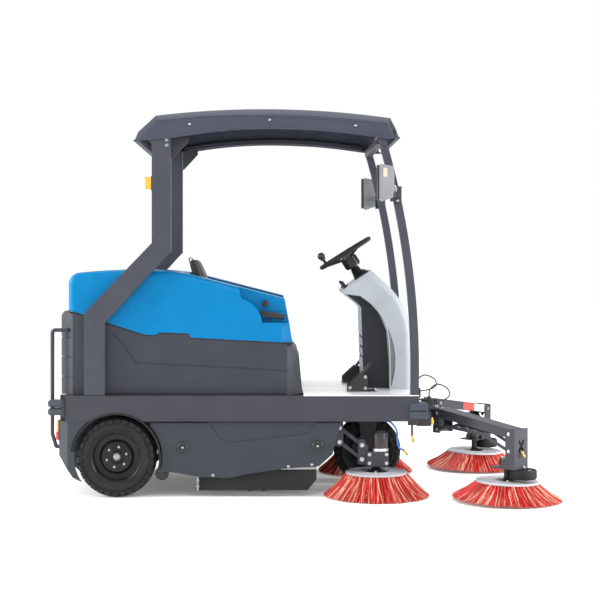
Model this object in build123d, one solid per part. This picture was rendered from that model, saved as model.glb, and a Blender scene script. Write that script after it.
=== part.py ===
from build123d import *
import os
from math import atan2, cos, degrees, hypot, radians, sin, sqrt

# A ride-on sweeper.  X points forward, Y to the driver's left, Z up from the floor.
# Lengths are millimetres.  Parts named "right" lie at negative Y; left ones mirror them.

# ---- Chassis ----
BEAM_REAR = -1248.0
BEAM_FRONT = 614.0
BEAM_OUTER_Y = 525.0
BEAM_WIDTH = 60.0
BEAM_INNER_Y = BEAM_OUTER_Y - BEAM_WIDTH
BEAM_BOTTOM = 403.0
BEAM_TOP = 537.0
STEEL_WALL = 4.0
CROSS_BOTTOM = 420.0
CROSS_TOP = 537.0
AXLE_MEMBER_BOTTOM = 432.0
DECK_THICKNESS = 4.0
DECK_TOP = BEAM_TOP + DECK_THICKNESS

# ---- Body mouldings and hood ----
BODY_HALF_WIDTH = 466.0
BODY_FRONT = 4.0
COVER_REAR = -1285.0
BODY_REAR = -1214.0
MOULDING_WALL = 6.0
SEAM_GAP = 5.0
HOOD_REAR = -1240.0
HOOD_HINGE_Z = 990.0
HOOD_FRONT = -92.0
HOOD_TOP = 1200.0
WELL_HALF_WIDTH = 250.0
WELL_FLOOR = 900.0

# ---- Posts and roof ----
POST_INNER_Y = 472.0
POST_OUTER_Y = 516.0
ROOF_HALF_WIDTH = 525.0
ROOF_WALL = 5.0
ROOF_BEVEL = 32.0

# ---- Wheels ----
REAR_WHEEL_X = -980.0
REAR_TYRE_RADIUS = 212.0
REAR_TYRE_WIDTH = 104.0
REAR_WHEEL_Y = 467.0
RIM_RADIUS = 132.0
ARCH_RADIUS = 236.0
FRONT_WHEEL_X = 376.0
FRONT_TYRE_RADIUS = 188.0
FRONT_TYRE_WIDTH = 100.0
FRONT_RIM_RADIUS = 118.0
STUB_RADIUS = 20.0
AXLE_RADIUS = 12.0
STEM_RADIUS = 25.0
RUNNING_CLEARANCE = 0.05

# ---- Brooms ----
BROOM_X = -240.0
BROOM_RADIUS = 150.0
BROOM_HALF_WIDTH = 330.0
DISC_RADIUS = 165.0
DISC_THICKNESS = 12.0
MID_BRUSH_X = 395.0
MID_BRUSH_Y = 440.0
MID_DISC_TOP = 130.0
MID_BRISTLE_RADIUS = 282.0
FRONT_BRISTLE_RADIUS = 288.0
FRONT_DISC_TOP = 98.0
FRONT_BRUSH_TILT = 1.5

# ---- Front brush arms: distances out along the arm from its upright pivot ----
ARM_PIVOT_X = 735.0
ARM_PIVOT_Y = 235.0
FRONT_BRUSH_X = 1065.0
FRONT_BRUSH_Y = 585.0
BRUSH_REACH = hypot(FRONT_BRUSH_X - ARM_PIVOT_X, FRONT_BRUSH_Y - ARM_PIVOT_Y)
ARM_SPLAY = degrees(atan2(FRONT_BRUSH_Y - ARM_PIVOT_Y, FRONT_BRUSH_X - ARM_PIVOT_X))
ARM_ROOT_REACH = 58.0
ARM_END_REACH = 538.0
ARM_ROOT_Z = 425.0
ARM_END_Z = 354.0
GUIDE_ROLLER = (570.0, 22.0)
LINK_DROP = 89.0
PIN_RADIUS = 8.0
OPEN_PIVOT_CLEARANCE = 0.6

# ---- Side brush links ----
MID_LINK_FRONT_X = 317.0
MID_LINK_FRONT_Z = 272.0
MID_LINK_SLOPE = 37.6
MID_LINK_LENGTH = 150.0
MID_LINK_DROP = 75.0

# ---- Driving position ----
WHEEL_CENTRE = (254.0, 1291.0)
WHEEL_TILT = 32.0
WHEEL_RADIUS = 155.0
KNOB_ANGLE = 35.0
PEDAL_X = 300.0
PEDAL_Z = 578.0
PEDAL_Y = 275.0
MIRROR_Z = 1652.0


def block(x, y, z):
    """A box between two values along each axis."""
    size = [max(pair) - min(pair) for pair in (x, y, z)]
    centre = [sum(pair) / 2 for pair in (x, y, z)]
    return Pos(*centre) * Box(*size)


def rod(start, end, radius):
    """A round bar between two points."""
    start, end = Vector(*start), Vector(*end)
    plane = Plane(origin=start, z_dir=end - start)
    return extrude(plane * Circle(radius), amount=(end - start).length)


def cross_rod(x, z, radius, y):
    """A round bar that lies across the machine."""
    return rod((x, min(y), z), (x, max(y), z), radius)


def outline(*points):
    """A flat outline in X and Z with straight sides."""
    return make_face(Polyline(*points, close=True))


def across(face, y):
    """Extrude an X-Z outline across the machine between two Y values."""
    return Pos(0, max(y), 0) * extrude(Plane.XZ * face, amount=max(y) - min(y))


def hollow_across(face, y, wall):
    """A closed box section: the outline with its inside removed."""
    inside = offset(face, -wall, kind=Kind.INTERSECTION)
    return across(face, y) - across(inside, (min(y) + wall, max(y) - wall))


def mirrored(shape):
    return mirror(shape, about=Plane.XZ)


def both_sides(shape):
    """A left and right pair as separate solids."""
    return Compound(children=[*shape.solids(), *mirrored(shape).solids()])


def group(*shapes):
    """Separate solids that share one named part."""
    return Compound(children=[solid for shape in shapes for solid in shape.solids()])


def rounded_edges(shape, radius, keep):
    """Round the edges that the test picks out."""
    return fillet([edge for edge in shape.edges() if keep(edge)], radius)


# ---------------------------------------------------------------- chassis


def side_beam():
    tube = block((BEAM_REAR, BEAM_FRONT), (-BEAM_OUTER_Y, -BEAM_INNER_Y), (BEAM_BOTTOM, BEAM_TOP))
    tube -= block(
        (BEAM_REAR - 1, BEAM_FRONT + 1),
        (-BEAM_OUTER_Y + STEEL_WALL, -BEAM_INNER_Y - STEEL_WALL),
        (BEAM_BOTTOM + STEEL_WALL, BEAM_TOP - STEEL_WALL),
    )
    arch = cross_rod(REAR_WHEEL_X, REAR_TYRE_RADIUS, ARCH_RADIUS, (-BEAM_OUTER_Y - 1, -BEAM_INNER_Y + 1))
    return tube - arch


def cross_member(rear, front, bottom=CROSS_BOTTOM, top=CROSS_TOP):
    tube = block((rear, front), (-BEAM_INNER_Y, BEAM_INNER_Y), (bottom, top))
    inside = block(
        (rear + STEEL_WALL, front - STEEL_WALL),
        (-BEAM_INNER_Y + STEEL_WALL, BEAM_INNER_Y - STEEL_WALL),
        (bottom + STEEL_WALL, top - STEEL_WALL),
    )
    return tube - inside


def steering_head():
    """The cross member that the front fork's stem turns in."""
    member = cross_member(FRONT_WHEEL_X - 60, FRONT_WHEEL_X + 60)
    member += Pos(FRONT_WHEEL_X, 0, (CROSS_BOTTOM + CROSS_TOP) / 2) * Cylinder(
        STEM_RADIUS + 14, CROSS_TOP - CROSS_BOTTOM
    )
    bore = Cylinder(STEM_RADIUS + RUNNING_CLEARANCE, 300)
    return member - Pos(FRONT_WHEEL_X, 0, CROSS_BOTTOM) * bore


def arm_carrier():
    """The front cross tube with two forked ears for the brush arms' upright pins."""
    tube = block((BEAM_FRONT, 690), (-420, 420), (366, 440))
    tube -= block((BEAM_FRONT + 5, 685), (-415, 415), (371, 435))
    ears = []
    for side in (-1, 1):
        y = side * ARM_PIVOT_Y
        for bottom, rear in ((367, 690), (440, BEAM_FRONT)):
            ear = block((rear, ARM_PIVOT_X), (y - 22, y + 22), (bottom, bottom + 8))
            ear += Pos(ARM_PIVOT_X, y, bottom + 4) * Cylinder(22, 8)
            ears.append(ear - Pos(ARM_PIVOT_X, y, bottom + 4) * Cylinder(10 + RUNNING_CLEARANCE, 20))
    return group(tube, *ears)


def mid_hanger():
    """Ears under the side beam that carry the side brush links."""
    rear_x, upper_z = mid_link_rear()
    plate = block((rear_x - 60, rear_x + 30), (-488, -400), (BEAM_BOTTOM - 6, BEAM_BOTTOM))
    for inner in (408, 466):
        plate += block((rear_x - 24, rear_x + 20), (-inner - 6, -inner),
                       (upper_z - MID_LINK_DROP - 22, BEAM_BOTTOM - 6))
    for z in (upper_z, upper_z - MID_LINK_DROP):
        plate += cross_rod(rear_x, z, PIN_RADIUS, (-474, -406))
    return plate


def axle_hangers():
    ear = block((REAR_WHEEL_X - 40, REAR_WHEEL_X + 40), (-400, -408), (150, AXLE_MEMBER_BOTTOM))
    return ear - cross_rod(REAR_WHEEL_X, REAR_TYRE_RADIUS, 38.1, (-410, -398))


def rear_drop_plate():
    """The upright plate behind the rear cross member that the guard tube bolts to."""
    return block((-1282, -1240), (-BEAM_INNER_Y, -432), (240, CROSS_TOP))


def anti_tip_roller():
    x, z = -742, 122
    bracket = outline((x - 12, z - 15), (x + 13, z - 15), (-714, 150), (-690, BEAM_BOTTOM), (-722, BEAM_BOTTOM),
                      (-756, 150))
    plate = across(bracket, (-487, -481)) + cross_rod(x, z, 7, (-481, -456))
    return group(plate, cross_rod(x, z, 36, (-478, -456)) - cross_rod(x, z, 7.05, (-480, -450)))


def chassis_frame():
    rear_members = group(cross_member(BEAM_REAR + 8, BEAM_REAR + 68), cross_member(-640, -580))
    right = group(side_beam(), mid_hanger(), axle_hangers(), rear_drop_plate(), anti_tip_roller())
    return group(
        rear_members,
        cross_member(REAR_WHEEL_X - 40, REAR_WHEEL_X + 40, AXLE_MEMBER_BOTTOM),
        steering_head(),
        cross_member(BEAM_FRONT - 60, BEAM_FRONT),
        arm_carrier(),
        both_sides(right),
    )


def deck_plate():
    plate = block((BODY_FRONT + 4, BEAM_FRONT), (-BEAM_OUTER_Y, BEAM_OUTER_Y), (BEAM_TOP, DECK_TOP))
    return plate - Pos(FRONT_WHEEL_X, 0, DECK_TOP) * Cylinder(STEM_RADIUS + 20, 40)


def transaxle():
    """Rear axle casing with its motor, and the stub shafts that the wheels turn on."""
    stub = REAR_WHEEL_Y + 20
    axle = cross_rod(REAR_WHEEL_X, REAR_TYRE_RADIUS, 38, (-409, 409))
    axle += cross_rod(REAR_WHEEL_X, REAR_TYRE_RADIUS, 46, (-90, 90))
    axle += cross_rod(REAR_WHEEL_X, REAR_TYRE_RADIUS, STUB_RADIUS, (-stub, stub))
    axle += cross_rod(REAR_WHEEL_X + 120, 190, 64, (-150, 60))
    axle += block((REAR_WHEEL_X, REAR_WHEEL_X + 120), (-40, 40), (160, 240))
    return axle


# ---------------------------------------------------------------- body


SEAM = [(-50, 812), (-591, 840), (-602, 862), (-755, 868), (-775, 853), (-832, 855),
        (-1045, 923), (HOOD_REAR, 988)]


def corner_cut(x, bevel, direction, z):
    """A wedge that bevels an upright corner of the right side; direction is +1 at the front."""
    y = -BODY_HALF_WIDTH
    plan = make_face(Polyline((x, y - 9), (x, y + bevel), (x - direction * bevel, y), (x - direction * bevel, y - 9),
                              close=True))
    return Pos(0, 0, z[0]) * extrude(plan, amount=z[1] - z[0])


def body_shell():
    """The grey lower moulding: an open tray that holds the batteries, with the wheel covers below."""
    top = [(x, z - SEAM_GAP) for x, z in SEAM if x > BODY_REAR]
    front = [(BODY_FRONT, BEAM_TOP), (-16, 752), (-50, 790)]
    profile = outline((BODY_REAR, BEAM_TOP), *front, *top, (BODY_REAR, 972))
    shell = across(profile, (-BODY_HALF_WIDTH, BODY_HALF_WIDTH))
    raised = outline((-1100, 546), (-28, 546), (-52, 663), (-880, 706), (-990, 850), (-1100, 880))
    panel = across(raised, (-BODY_HALF_WIDTH - 4, -BODY_HALF_WIDTH))
    shell = shell + panel + mirrored(panel)
    cut = corner_cut(BODY_FRONT + 2, 84, 1, (BEAM_TOP - 1, 900))
    shell = shell - cut - mirrored(cut)
    wall = MOULDING_WALL
    bay = outline((BODY_REAR + wall, BEAM_TOP + wall), (BODY_FRONT - 86, BEAM_TOP + wall),
                  (BODY_FRONT - 86, 1100), (BODY_REAR + wall, 1100))
    shell -= across(bay, (-BODY_HALF_WIDTH + wall, BODY_HALF_WIDTH - wall))
    nose = outline((BODY_FRONT - 90, BEAM_TOP + wall), (BODY_FRONT - wall, BEAM_TOP + wall),
                   (-16 - wall, 750), (-58, 790), (-58, 1100), (BODY_FRONT - 90, 1100))
    shell -= across(nose, (-370, 370))
    return group(shell, both_sides(rear_fender()))


def rear_fender():
    """The panel between the wheel arch and the rear corner, with a bevelled corner."""
    plan = make_face(Polyline((-1100, -523), (-1235, -523), (-1287, -470), (-1287, -444), (-1283, -444),
                              (-1283, -468), (-1233, -519), (-1100, -519), close=True))
    panel = Pos(0, 0, 85) * extrude(plan, amount=BEAM_BOTTOM - 85)
    side = outline((-1290, BEAM_BOTTOM), (-1290, 224), (-1206, 106), (-1160, 85), (-1100, 85), (-1100, BEAM_BOTTOM))
    panel &= across(side, (-530, -440))
    arch = cross_rod(REAR_WHEEL_X, REAR_TYRE_RADIUS, ARCH_RADIUS + 5, (-530, -510))
    arch -= block((-1300, -600), (-540, -500), (-100, 245))
    return panel - arch - cross_rod(REAR_WHEEL_X, REAR_TYRE_RADIUS, REAR_TYRE_RADIUS + 8, (-530, -510))


def rear_cover():
    """The rear access cover: bevelled corners and three level grooves."""
    top = 980
    profile = outline((COVER_REAR, BEAM_TOP), (BODY_REAR - 1, BEAM_TOP), (BODY_REAR - 1, top - 14),
                      (COVER_REAR + 18, top), (COVER_REAR, top - 22))
    cover = across(profile, (-BODY_HALF_WIDTH, BODY_HALF_WIDTH))
    inside = outline((COVER_REAR + 6, BEAM_TOP + 6), (BODY_REAR, BEAM_TOP + 6), (BODY_REAR, top - 24),
                     (COVER_REAR + 6, top - 24))
    cover -= across(inside, (-390, 390))
    cut = corner_cut(COVER_REAR, 70, -1, (BEAM_TOP - 1, top + 1))
    cover -= cut
    cover -= mirrored(cut)
    for z in (631, 738, 842):
        cover -= block((COVER_REAR - 1, COVER_REAR + 3), (-480, 480), (z - 4, z + 4))
        groove = Pos(0, 0, z - 4) * extrude(make_face(Polyline(
            (COVER_REAR - 1, -395), (COVER_REAR + 3.5, -393), (COVER_REAR + 73, -462),
            (COVER_REAR + 70, -468), close=True)), amount=8)
        cover -= groove
        cover -= mirrored(groove)
    return cover


def hood_outline():
    """The hood seen from the side; its bottom follows the seam."""
    front_top = (HOOD_FRONT, 1046)
    pieces = [
        Line(SEAM[-1], (HOOD_REAR, 1120)),
        ThreePointArc((HOOD_REAR, 1120), (HOOD_REAR + 17, 1166), (-1180, 1186)),
        ThreePointArc((-1180, 1186), (-900, HOOD_TOP), (-620, 1181)),
        Line((-620, 1181), front_top),
        Polyline(front_top, (-66, 912), SEAM[0]),
        Polyline(*SEAM),
    ]
    return make_face(Wire([edge for piece in pieces for edge in piece.edges()]))


def hood():
    """The blue cover: side pods, a raised rear block and a well for the seat."""
    shape = across(hood_outline(), (-BODY_HALF_WIDTH, BODY_HALF_WIDTH))
    shape = rounded_edges(
        shape, 30,
        lambda e: abs(abs(e.center().Y) - BODY_HALF_WIDTH) < 1 and (
            e.center().Z > 1060 or e.center().X < HOOD_REAR + 30),
    )
    edge_cut = corner_cut(SEAM[0][0] + 2, 60, 1, (780, 912))
    shape = shape - edge_cut - mirrored(edge_cut)
    well = outline((-545, WELL_FLOOR), (-30, WELL_FLOOR), (-30, 1300), (-675, 1300))
    shape -= across(well, (-WELL_HALF_WIDTH, WELL_HALF_WIDTH))
    grip = make_face(Wire([
        *Polyline((-212, 919), (20, 919), (20, 1200), (-334, 1200), (-334, 1095), (-321, 1046)).edges(),
        *ThreePointArc((-321, 1046), (-251, 1006), (-212, 919)).edges(),
    ]))
    grip_cut = across(grip, (-BODY_HALF_WIDTH - 1, -402))
    shape -= grip_cut
    shape -= mirrored(grip_cut)
    wall = MOULDING_WALL
    inside_y = BODY_HALF_WIDTH - wall
    cavity = across(outline((HOOD_REAR + wall, 700), (SEAM[0][0] - 70, 700), (SEAM[0][0] - 70, WELL_FLOOR - wall),
                            (HOOD_REAR + wall, WELL_FLOOR - wall)), (-inside_y, inside_y))
    block_cavity = across(outline((HOOD_REAR + wall, 880), (-560, 880), (-650, 1150), (HOOD_REAR + 40, 1150),
                                  (HOOD_REAR + wall, 1120)), (-inside_y + 24, inside_y - 24))
    pod = across(outline((-600, 880), (-345, 880), (-345, 1080), (-600, 1150)),
                 (-inside_y + 18, -WELL_HALF_WIDTH - wall))
    front_pod = across(outline((-350, 880), (-100, 880), (-100, 1030), (-350, 1085)),
                       (-396, -WELL_HALF_WIDTH - wall))
    pods = both_sides(pod + front_pod)
    shape -= cavity + block_cavity + pods
    knuckle = cross_rod(HOOD_REAR, HOOD_HINGE_Z, 6, (-350, -290))
    return shape + knuckle + mirrored(knuckle)


def hood_lock():
    """The round turn knob in the grip recess, on the right."""
    knob = rod((-194, -402, 1020), (-194, -426, 1020), 17)
    knob += block((-198, -190), (-434, -426), (1006, 1034))
    return knob


def hood_grip():
    """The black pull bar in the recess; it belongs to the hood."""
    bar = block((-222, -98), (-436, -420), (948, 970))
    for x in (-216, -112):
        bar += block((x, x + 10), (-422, -402), (950, 968))
    return bar


# ---------------------------------------------------------------- seat


def seat_base():
    base = block((-532, -110), (-190, 190), (WELL_FLOOR + 12, WELL_FLOOR + 24))
    for side in (-1, 1):
        base += block((-540, -120), (side * 150 - 14, side * 150 + 14), (WELL_FLOOR + 0.3, WELL_FLOOR + 12))
    bracket = outline((-534, WELL_FLOOR + 12), (-515, WELL_FLOOR + 12), (-563, 1062), (-572, 1058))
    for side in (-1, 1):
        base += across(bracket, (side * 120 - 20, side * 120 + 20))
    return base


def seat_cushion():
    pad = outline((-480, 927), (-80, 927), (-74, 985), (-110, 1002), (-470, 992))
    return across(pad, (-215, 215))


def seat_back():
    pad = outline((-496, 1000), (-536, 985), (-620, 1250), (-606, 1268), (-576, 1262), (-510, 1110))
    return across(pad, (-200, 200))


# ---------------------------------------------------------------- posts and roof


def rear_posts():
    face = outline((-1150, BEAM_TOP), (-1040, BEAM_TOP), (-1040, 920), (-692, 1297), (-692, 1903), (-793, 1903),
                   (-793, 1342), (-1150, 970))
    return both_sides(hollow_across(face, (-POST_OUTER_Y, -POST_INNER_Y), STEEL_WALL))


def post_arc(shift):
    return ThreePointArc((592 + shift, DECK_TOP), (560 + shift, 1215), (416 + shift, 1903))


def front_post():
    rear_line, front_line = post_arc(-21), post_arc(21)
    face = make_face(Wire([
        *rear_line.edges(), *Line(rear_line @ 1, front_line @ 1).edges(),
        *front_line.edges(), *Line(front_line @ 0, rear_line @ 0).edges(),
    ]))
    return across(face, (-POST_OUTER_Y, -POST_INNER_Y))


def mirror_clamp():
    clamp = block((462, 522), (-POST_OUTER_Y - 8, -POST_OUTER_Y), (1560, 1640))
    arm = rod((480, -POST_OUTER_Y - 4, 1592), (480, -566, 1592), 8)
    pivot = rod((480, -566, 1584), (480, -566, MIRROR_Z - 18), 7)
    return clamp + arm + pivot


def front_posts():
    return both_sides(group(front_post(), mirror_clamp()))


def mirror_glass_housing():
    """A rear-view mirror: a shallow housing whose glass faces the driver."""
    shell = outline((410, 1556), (468, 1576), (472, 1738), (404, 1750), (392, 1738), (388, 1571))
    body = across(shell, (-640, -590))
    body += block((462, 492), (-594, -554), (MIRROR_Z - 40, MIRROR_Z - 16))
    socket = Pos(480, -566, MIRROR_Z - 60) * Cylinder(7 + RUNNING_CLEARANCE, 200)
    return body - socket


def roof_outline(inset=0.0, drop=0.0):
    rear_top, front_top = (-772 + inset, 2015 - inset), (465 - inset / 2, 2002 - inset)
    crown = ThreePointArc(rear_top, (-303, 2048 - inset), front_top)
    lip = ThreePointArc((440, 1893 - drop), (-170, 1944 - drop), (-690, 1896 - drop))
    front = Polyline(front_top, (495 - inset, 1944), (512 - inset, 1893 - drop), (440, 1893 - drop))
    rear = Polyline((-690, 1896 - drop), (-884 + inset, 1879 - drop), (-866 + inset, 1929), rear_top)
    return make_face(Wire([*crown.edges(), *front.edges(), *lip.edges(), *rear.edges()]))


def roof_solid(inset=0.0, drop=0.0):
    half = ROOF_HALF_WIDTH - inset
    solid = across(roof_outline(inset, drop), (-half, half))
    top_edges = [e for e in solid.edges() if abs(abs(e.center().Y) - half) < 1 and e.center().Z > 1950
                 and e.length > 60]
    return chamfer(top_edges, ROOF_BEVEL)


def roof_panel():
    """The domed roof: a thin pressing with bevelled long edges and a deep skirt."""
    return roof_solid() - roof_solid(ROOF_WALL, 120)


def roof_frame():
    """Cross tubes and gussets that join the posts under the roof panel."""
    half = POST_INNER_Y - 0.5
    tubes = group(
        block((-793, -753), (-half, half), (1890, 1930)),
        block((396, 436), (-half, half), (1866, 1902)),
    )
    gusset = across(outline((-690, 1902), (-690, 1790), (-684, 1790), (-600, 1880), (-600, 1902)),
                    (-POST_INNER_Y, -POST_INNER_Y + 6))
    upper = ThreePointArc((-688, 1925), (-150, 1972), (385, 1928))
    lower = ThreePointArc((385, 1903), (-150, 1947), (-688, 1900))
    face = make_face(Wire([*upper.edges(), *Line((385, 1928), (385, 1903)).edges(), *lower.edges(),
                           *Line((-688, 1900), (-688, 1925)).edges()]))
    side_rail = across(face, (-ROOF_HALF_WIDTH + 5.5, -POST_INNER_Y - 16))
    return group(tubes, both_sides(group(gusset, side_rail)))


def lamps():
    """Tail lamps at the rear corners and amber lamps on the rear posts."""
    tail = block((-1303, -1287.2), (-468, -444.5), (300, 400))
    amber = block((-828, -793), (-508, -480), (1625, 1690))
    return both_sides(group(rounded_edges(tail, 5, lambda e: e.center().X < -1302.9), amber))


# ---------------------------------------------------------------- corners and skirts


def corner_bumpers():
    blocks = []
    for z in (BEAM_BOTTOM + 31, BEAM_BOTTOM + 74):
        rear = block((-1341, BEAM_REAR), (-BEAM_OUTER_Y - 4, -BEAM_INNER_Y - 6), (z, z + 38))
        blocks.append(rounded_edges(rear, 16, lambda e: e.center().X < -1340 or e.center().Y < -528))
        front = block((565, 662), (-BEAM_OUTER_Y - 10, -430), (z - 16, z + 22))
        front -= block((560, BEAM_FRONT), (-BEAM_OUTER_Y, -400), (300, 600))
        blocks.append(rounded_edges(front, 9, lambda e: e.center().X > 661))
    return both_sides(group(*blocks))


def rear_guard():
    route = FilletPolyline((-1244, -448, 880), (-1326, -448, 880), (-1326, -448, 330), (-1306, -448, 262),
                           (-1287, -448, 262), radius=[16, 30, 8])
    tube = sweep(Plane(origin=route @ 0, z_dir=route % 0) * Circle(10.5), path=route)
    return both_sides(tube)


def rubber_skirts():
    """Rubber flaps beside the main broom, and the rubber edges of the wheel arches."""
    flap = across(outline((-554, 160), (76, 160), (76, 94), (30, 36), (-554, 34)), (-486, -480))
    ring = cross_rod(REAR_WHEEL_X, REAR_TYRE_RADIUS, ARCH_RADIUS - 0.5, (-529, -509))
    ring -= cross_rod(REAR_WHEEL_X, REAR_TYRE_RADIUS, ARCH_RADIUS - 9, (-530, -508))
    ring -= block((REAR_WHEEL_X - 300, REAR_WHEEL_X), (-540, -500), (-100, 251))
    ring -= block((REAR_WHEEL_X, REAR_WHEEL_X + 300), (-540, -500), (-100, 154))
    return both_sides(group(flap, ring))


def side_cover():
    """The side access cover, with a sunk field and two quarter-turn knobs."""
    corner_x = -802
    corner_z = REAR_TYRE_RADIUS + sqrt((ARCH_RADIUS + 4) ** 2 - (corner_x - REAR_WHEEL_X) ** 2)
    end_x = REAR_WHEEL_X + sqrt((ARCH_RADIUS + 4) ** 2 - (140 - REAR_TYRE_RADIUS) ** 2)
    edge = ThreePointArc((end_x, 140), (REAR_WHEEL_X + ARCH_RADIUS + 2.5, 240), (corner_x, corner_z))
    rest = Polyline((corner_x, corner_z), (corner_x, 398), (206, 398), (196, 362), (159, 227), (88, 165), (-91, 153), (-309, 120),
                    (-393, 101), (-538, 108), (-663, 130), (end_x, 140))
    face = make_face(Wire([*edge.edges(), *rest.edges()]))
    panel = across(face, (-512, -494))
    panel -= across(offset(face, -10), (-504, -493))
    panel = rounded_edges(panel, 5, lambda e: abs(e.center().Y + 512) < 0.5)
    sunk = outline((-500, 400), (-434, 310), (-382, 289), (24, 335), (80, 400))
    panel -= across(sunk, (-513, -508))
    return group(panel, *[cross_rod(x, z, 29, (-520, -512)) for x, z in ((-629, 265), (81, 273))])


# ---------------------------------------------------------------- main broom, hopper, power


def broom_housing():
    """The arched chamber round the main broom, its side plates and the drive motor."""
    radius = BROOM_RADIUS + 22
    half = BROOM_HALF_WIDTH + 14
    arch = cross_rod(BROOM_X, BROOM_RADIUS, radius, (-half, half))
    arch -= block((BROOM_X - 300, BROOM_X + 300), (-half - 1, half + 1), (-100, BROOM_RADIUS))
    arch += block((BROOM_X - radius, BROOM_X + radius), (-half, half), (40, BROOM_RADIUS))
    inside = cross_rod(BROOM_X, BROOM_RADIUS, radius - 5, (-half + 6, half - 6))
    inside += block((BROOM_X - radius + 5, BROOM_X + radius - 5), (-half + 6, half - 6), (30, BROOM_RADIUS))
    arch -= inside
    arch -= block((BROOM_X - radius - 5, BROOM_X - 90), (-300, 300), (190, 310))
    arch -= cross_rod(BROOM_X, BROOM_RADIUS, AXLE_RADIUS + RUNNING_CLEARANCE, (-half - 5, half + 5))
    motor = cross_rod(BROOM_X + 205, 250, 45, (-half + 40, -half + 220))
    foot = block((BROOM_X + 120, BROOM_X + 200), (-half + 60, -half + 200), (250, 262))
    return group(arch + foot + motor)


def main_broom():
    """The roller broom: a core with twelve rows of bristle and a shaft at each end."""
    half = BROOM_HALF_WIDTH
    broom = cross_rod(BROOM_X, BROOM_RADIUS, 55, (-half, half))
    row = block((BROOM_X + 45, BROOM_X + BROOM_RADIUS - 0.5), (-half, half), (BROOM_RADIUS - 9, BROOM_RADIUS + 9))
    axis = Axis((BROOM_X, 0, BROOM_RADIUS), (0, 1, 0))
    for turn in range(12):
        broom += row.rotate(axis, 15 + 30 * turn)
    return broom + cross_rod(BROOM_X, BROOM_RADIUS, AXLE_RADIUS, (-half - 14, half + 14))


def dust_hopper():
    """The dust drawer: a deep bin behind the axle with a chute over the axle to the broom."""
    outer = outline((-1286, 396), (-1286, 216), (-1152, 86), (-1032, 86), (-1032, 266), (-424, 266), (-424, 396))
    inner = outline((-1281, 420), (-1281, 218), (-1150, 91), (-1037, 91), (-1037, 271), (-400, 271), (-400, 420))
    bin_shell = across(outer, (-390, 390)) - across(inner, (-385, 385))
    bin_shell += block((-1300, -1286), (-90, 90), (330, 340))
    return bin_shell + block((-1312, -1300), (-90, 90), (322, 348))


def filter_and_fan():
    """The panel filter box and the suction fan above the hopper."""
    floor = BEAM_TOP + MOULDING_WALL
    box = block((-1150, -800), (-260, 260), (floor, floor + 140))
    fan = Pos(-700, 0, floor + 60) * Cylinder(85, 120)
    return group(box, fan)


def batteries():
    cells = []
    for x in (-560, -330):
        for column in range(4):
            y = -378 + column * 190
            floor = BEAM_TOP + MOULDING_WALL
            cell = block((x, x + 220), (y, y + 180), (floor, floor + 256))
            cell += Pos(x + 40, y + 90, floor + 262) * Cylinder(9, 12)
            cell += Pos(x + 180, y + 90, floor + 262) * Cylinder(9, 12)
            cells.append(cell)
    return group(*cells)


# ---------------------------------------------------------------- wheels


def ring_about_y(profile, x, z):
    """Turn a half section, given as radius and Y, into a ring about a cross axle."""
    face = make_face(Polyline(*[(r, y) for r, y in profile], close=True))
    return Pos(x, 0, z) * Rot(0, 90, 0) * revolve(Plane.XY * face, Axis.Y, 360)


def tyre(x, y, radius, width, bead):
    half = width / 2
    section = [(bead, y - half + 14), (bead + 20, y - half), (radius - 26, y - half), (radius - 8, y - half + 8),
               (radius, y - half + 22), (radius, y + half - 22), (radius - 8, y + half - 8),
               (radius - 26, y + half), (bead + 20, y + half), (bead, y + half - 14)]
    return ring_about_y(section, x, radius)


def rear_tyre():
    return tyre(REAR_WHEEL_X, -REAR_WHEEL_Y, REAR_TYRE_RADIUS, REAR_TYRE_WIDTH, RIM_RADIUS)


def rear_rim():
    """A dished steel rim with its hub barrel."""
    out, back = -REAR_WHEEL_Y - 38, -REAR_WHEEL_Y + 38
    bore = STUB_RADIUS + RUNNING_CLEARANCE
    section = [(bore, out + 4), (30, out + 4), (36, out + 12), (78, out + 16), (92, out + 30), (118, out + 26),
               (124, out + 2), (RIM_RADIUS - 0.3, out), (RIM_RADIUS - 0.3, back), (124, back),
               (118, back - 6), (116, out + 38), (84, out + 40), (60, out + 24), (42, out + 22), (42, back - 4),
               (bore, back - 4)]
    return ring_about_y(section, REAR_WHEEL_X, REAR_TYRE_RADIUS)


def front_wheel():
    rubber = tyre(FRONT_WHEEL_X, 0, FRONT_TYRE_RADIUS, FRONT_TYRE_WIDTH, FRONT_RIM_RADIUS)
    bore = AXLE_RADIUS + RUNNING_CLEARANCE
    section = [(bore, -46), (34, -46), (34, -20), (90, -12), (104, -34), (FRONT_RIM_RADIUS - 0.3, -34),
               (FRONT_RIM_RADIUS - 0.3, 34), (104, 34), (90, 12), (34, 20), (34, 46), (bore, 46)]
    return group(rubber, ring_about_y(section, FRONT_WHEEL_X, FRONT_TYRE_RADIUS))


def front_fork():
    """The steered fork: a stem in the steering head, a crown, two legs and the axle."""
    crown_z = FRONT_TYRE_RADIUS * 2 + 12
    fork = block((FRONT_WHEEL_X - 60, FRONT_WHEEL_X + 60), (-72, 72), (crown_z, crown_z + 18))
    fork += Pos(FRONT_WHEEL_X, 0, 458) * Cylinder(STEM_RADIUS, 116)
    for side in (-1, 1):
        leg = outline((FRONT_WHEEL_X - 55, crown_z + 2), (FRONT_WHEEL_X - 26, 160), (FRONT_WHEEL_X + 26, 160),
                      (FRONT_WHEEL_X + 55, crown_z + 2))
        fork += across(leg, (side * 64 - 6, side * 64 + 6))
    return fork + cross_rod(FRONT_WHEEL_X, FRONT_TYRE_RADIUS, AXLE_RADIUS, (-68, 68))


# ---------------------------------------------------------------- console and controls


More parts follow.
